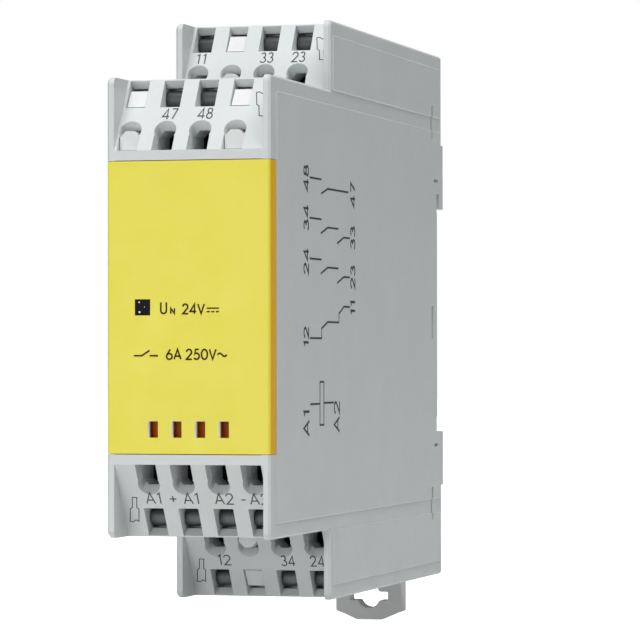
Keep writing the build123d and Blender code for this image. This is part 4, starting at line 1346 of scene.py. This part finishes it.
@dataclass
class TerminalBlocks:
    """The push-in terminals: carriers, springs, bars, plugs and their numbers."""

    dresser: Dresser
    font: StrokeFont
    plug_edges: SoftEdges = SoftEdges(0.08)
    spring_edges: SoftEdges = SoftEdges(0.05, 40.0)

    def build(self) -> list[bpy.types.Object]:
        """Dress the terminals and print their fields.

        Returns:
            All their pieces.
        """
        named = self.dresser.named
        carriers = [n for n in named("upper", "lower") if n.name.endswith("carrier")]
        plugs = [n for n in named("upper", "lower") if "plug" in n.name]
        pieces = self.dresser.dress(carriers)
        pieces += self.dresser.dress(named("contact_bar"))
        pieces += self.dresser.dress(plugs, self.plug_edges)
        pieces += self.dresser.dress(named("clamp_spring"), self.spring_edges)
        ink = self.dresser.finishes.number_ink
        marking = TerminalMarking(self.font, ink)
        pictograms = ConductorPictograms(marking, ink)
        return pieces + [marking.build(), pictograms.build()]


@dataclass
class RailFoot:
    """The sliding foot that catches the rail, and its spring."""

    dresser: Dresser
    edges: SoftEdges = SoftEdges(0.12)

    def build(self) -> list[bpy.types.Object]:
        """Dress the foot and the spring.

        Returns:
            The softened foot.
        """
        foot, *others = self.dresser.named("rail_foot")
        self.dresser.dress(others)
        return self.dresser.dress([foot], self.edges)


@dataclass
class BoardAssembly:
    """The circuit board with its small parts and solder."""

    dresser: Dresser
    part_edges: SoftEdges = SoftEdges(0.10)

    def build(self) -> list[bpy.types.Object]:
        """Dress the board and add the solder joints.

        Returns:
            The softened parts and the solder.
        """
        named = self.dresser.named
        self.dresser.dress(named("circuit_board", "status_led"))
        pieces = self.dresser.dress(named("surge_diode", "smoothing_capacitor"), self.part_edges)
        return pieces + [SolderJoints(self.dresser.finishes.solder).build()]


@dataclass
class GuidedRelay:
    """The relay inside: coil, magnet parts, card and contact springs."""

    dresser: Dresser
    edges: SoftEdges = SoftEdges(0.12)
    metal_edges: SoftEdges = SoftEdges(0.05, 40.0)

    def build(self) -> list[bpy.types.Object]:
        """Dress the relay and wind its coil.

        Returns:
            The softened parts and the turns.
        """
        named = self.dresser.named
        self.dresser.dress(named("coil_winding", "coil_core", "relay_base"))
        pieces = self.dresser.dress(named("relay_cover", "coil_bobbin", "actuator_card"), self.edges)
        metal = named("relay_yoke", "relay_armature", "moving_contact", "fixed_contact")
        pieces += self.dresser.dress(metal, self.metal_edges)
        return pieces + [CoilTurns(self.dresser.finishes.by_slot["magnet_wire"]).build()]


@dataclass(frozen=True)
class Lamp:
    """A square soft lamp: its name, place and side in metres, and power in watts."""

    name: str
    place: Triple
    side: float
    power: float

    def build(self, aim: Triple) -> None:
        """Put the lamp up.

        Args:
            aim: the point that it looks at, in metres.
        """
        data = bpy.data.lights.new(self.name, "AREA")
        data.size = self.side
        data.energy = self.power
        lamp = bpy.data.objects.new(self.name, data)
        away = Vector(self.place) - Vector(aim)
        lamp.matrix_world = Matrix.Translation(self.place) @ away.to_track_quat("Z", "Y").to_matrix().to_4x4()
        show(lamp)


@dataclass
class Studio:
    """Floor, lamps, world and the camera at the photograph's viewing angle.

    The lamps' aim, the camera's nearest distance and the floor's half side are in metres, the angles in
    degrees, and the focal length and the picture in pixels. Shades are shares of white.
    """

    lamps: tuple[Lamp, ...] = (
        Lamp("top", (-0.05, -0.42, 1.0), 0.7, 7.2),
        Lamp("fill", (0.45, -0.22, 1.0), 0.5, 4.7),
        Lamp("low", (-0.1, -0.48, -0.035), 0.16, 0.78),
    )
    aim: Triple = (0.0, -0.045, 0.0)
    surround_shade: float = 0.13
    floor_z: float = -46.72
    floor_half: float = 3.0
    floor_shade: float = 0.68
    floor_roughness: float = 0.9
    focal_pixels: float = 3661.2
    image_pixels: float = 640.0
    sensor: float = 36.0
    nearest: float = 0.01
    yaw: float = 15.336
    pitch: float = 0.617
    roll: float = -0.057
    distance: float = 468.79
    target: Triple = (17.689, -91.0, -1.726)

    def camera(self) -> None:
        """Place the camera."""
        yaw, pitch, roll = (math.radians(v) for v in (self.yaw, self.pitch, self.roll))
        ahead = Vector((-math.sin(yaw) * math.cos(pitch), math.cos(yaw) * math.cos(pitch), math.sin(pitch)))
        right = Vector((math.cos(yaw), math.sin(yaw), 0.0))
        up = right.cross(ahead)
        right_rolled = right * math.cos(roll) + up * math.sin(roll)
        up_rolled = up * math.cos(roll) - right * math.sin(roll)
        spot = (Vector(self.target) - ahead * self.distance) * MM
        turn = Matrix((right_rolled, up_rolled, -ahead)).transposed().to_4x4()
        data = bpy.data.cameras.new("camera")
        data.sensor_width = self.sensor
        data.lens = self.focal_pixels / self.image_pixels * self.sensor
        data.clip_start = self.nearest
        camera = bpy.data.objects.new("camera", data)
        camera.matrix_world = Matrix.Translation(spot) @ turn
        show(camera)
        bpy.context.scene.camera = camera

    def world(self) -> None:
        """Set a surround that the camera sees as white and that lights the relay only weakly."""
        world = bpy.data.worlds.new("surround")
        bpy.context.scene.world = world
        world.use_nodes = True
        tree = world.node_tree
        background = tree.nodes["Background"]
        background.inputs["Color"].default_value = (1.0, 1.0, 1.0, 1.0)
        path = tree.nodes.new("ShaderNodeLightPath")
        strength = add_node(tree, "ShaderNodeMapRange", To_Min=self.surround_shade, To_Max=1.0)
        tree.links.new(path.outputs["Is Camera Ray"], strength.inputs["Value"])
        tree.links.new(strength.outputs["Result"], background.inputs["Strength"])

    def floor_finish(self) -> bpy.types.Material:
        """Make the pale floor's finish, which camera and glossy rays see as white.

        Returns:
            The material.
        """
        material, tree, shader = new_material("floor_pale")
        shader.inputs["Base Color"].default_value = (self.floor_shade, self.floor_shade, self.floor_shade, 1)
        shader.inputs["Roughness"].default_value = self.floor_roughness
        shader.inputs["Emission Color"].default_value = (1, 1, 1, 1)
        path = tree.nodes.new("ShaderNodeLightPath")
        either = tree.nodes.new("ShaderNodeMath")
        either.operation = "MAXIMUM"
        tree.links.new(path.outputs["Is Camera Ray"], either.inputs[0])
        tree.links.new(path.outputs["Is Glossy Ray"], either.inputs[1])
        tree.links.new(either.outputs["Value"], shader.inputs["Emission Strength"])
        return material

    def floor(self) -> None:
        """Lay a plain floor at the foot's rest height."""
        mesh = bpy.data.meshes.new("floor")
        half = self.floor_half
        z = self.floor_z * MM
        corners = [(-half, -half, z), (half, -half, z), (half, half, z), (-half, half, z)]
        mesh.from_pydata(corners, [], [(0, 1, 2, 3)])
        mesh.materials.append(self.floor_finish())
        floor = bpy.data.objects.new("floor", mesh)
        show(floor)

    def build(self) -> None:
        """Set up the whole studio."""
        self.camera()
        self.world()
        self.floor()
        for lamp in self.lamps:
            lamp.build(self.aim)
        bpy.context.scene.view_settings.view_transform = "Standard"


def main() -> None:
    """Dress the relay and report each piece."""
    logging.basicConfig(level=logging.INFO, format="%(message)s")
    font = StrokeFont()
    dresser = Dresser(Finishes())
    assemblies = (
        Housing(dresser),
        FrontCover(dresser, font),
        TerminalBlocks(dresser, font),
        RailFoot(dresser),
        BoardAssembly(dresser),
        GuidedRelay(dresser),
        SideDiagram(font, dresser.finishes.diagram_ink),
    )
    for assembly in assemblies:
        for piece in assembly.build():
            LOG.info("%s: %s, %d faces", type(assembly).__name__, piece.name, len(piece.data.polygons))
    Studio().build()


if __name__ == "__main__":
    main()
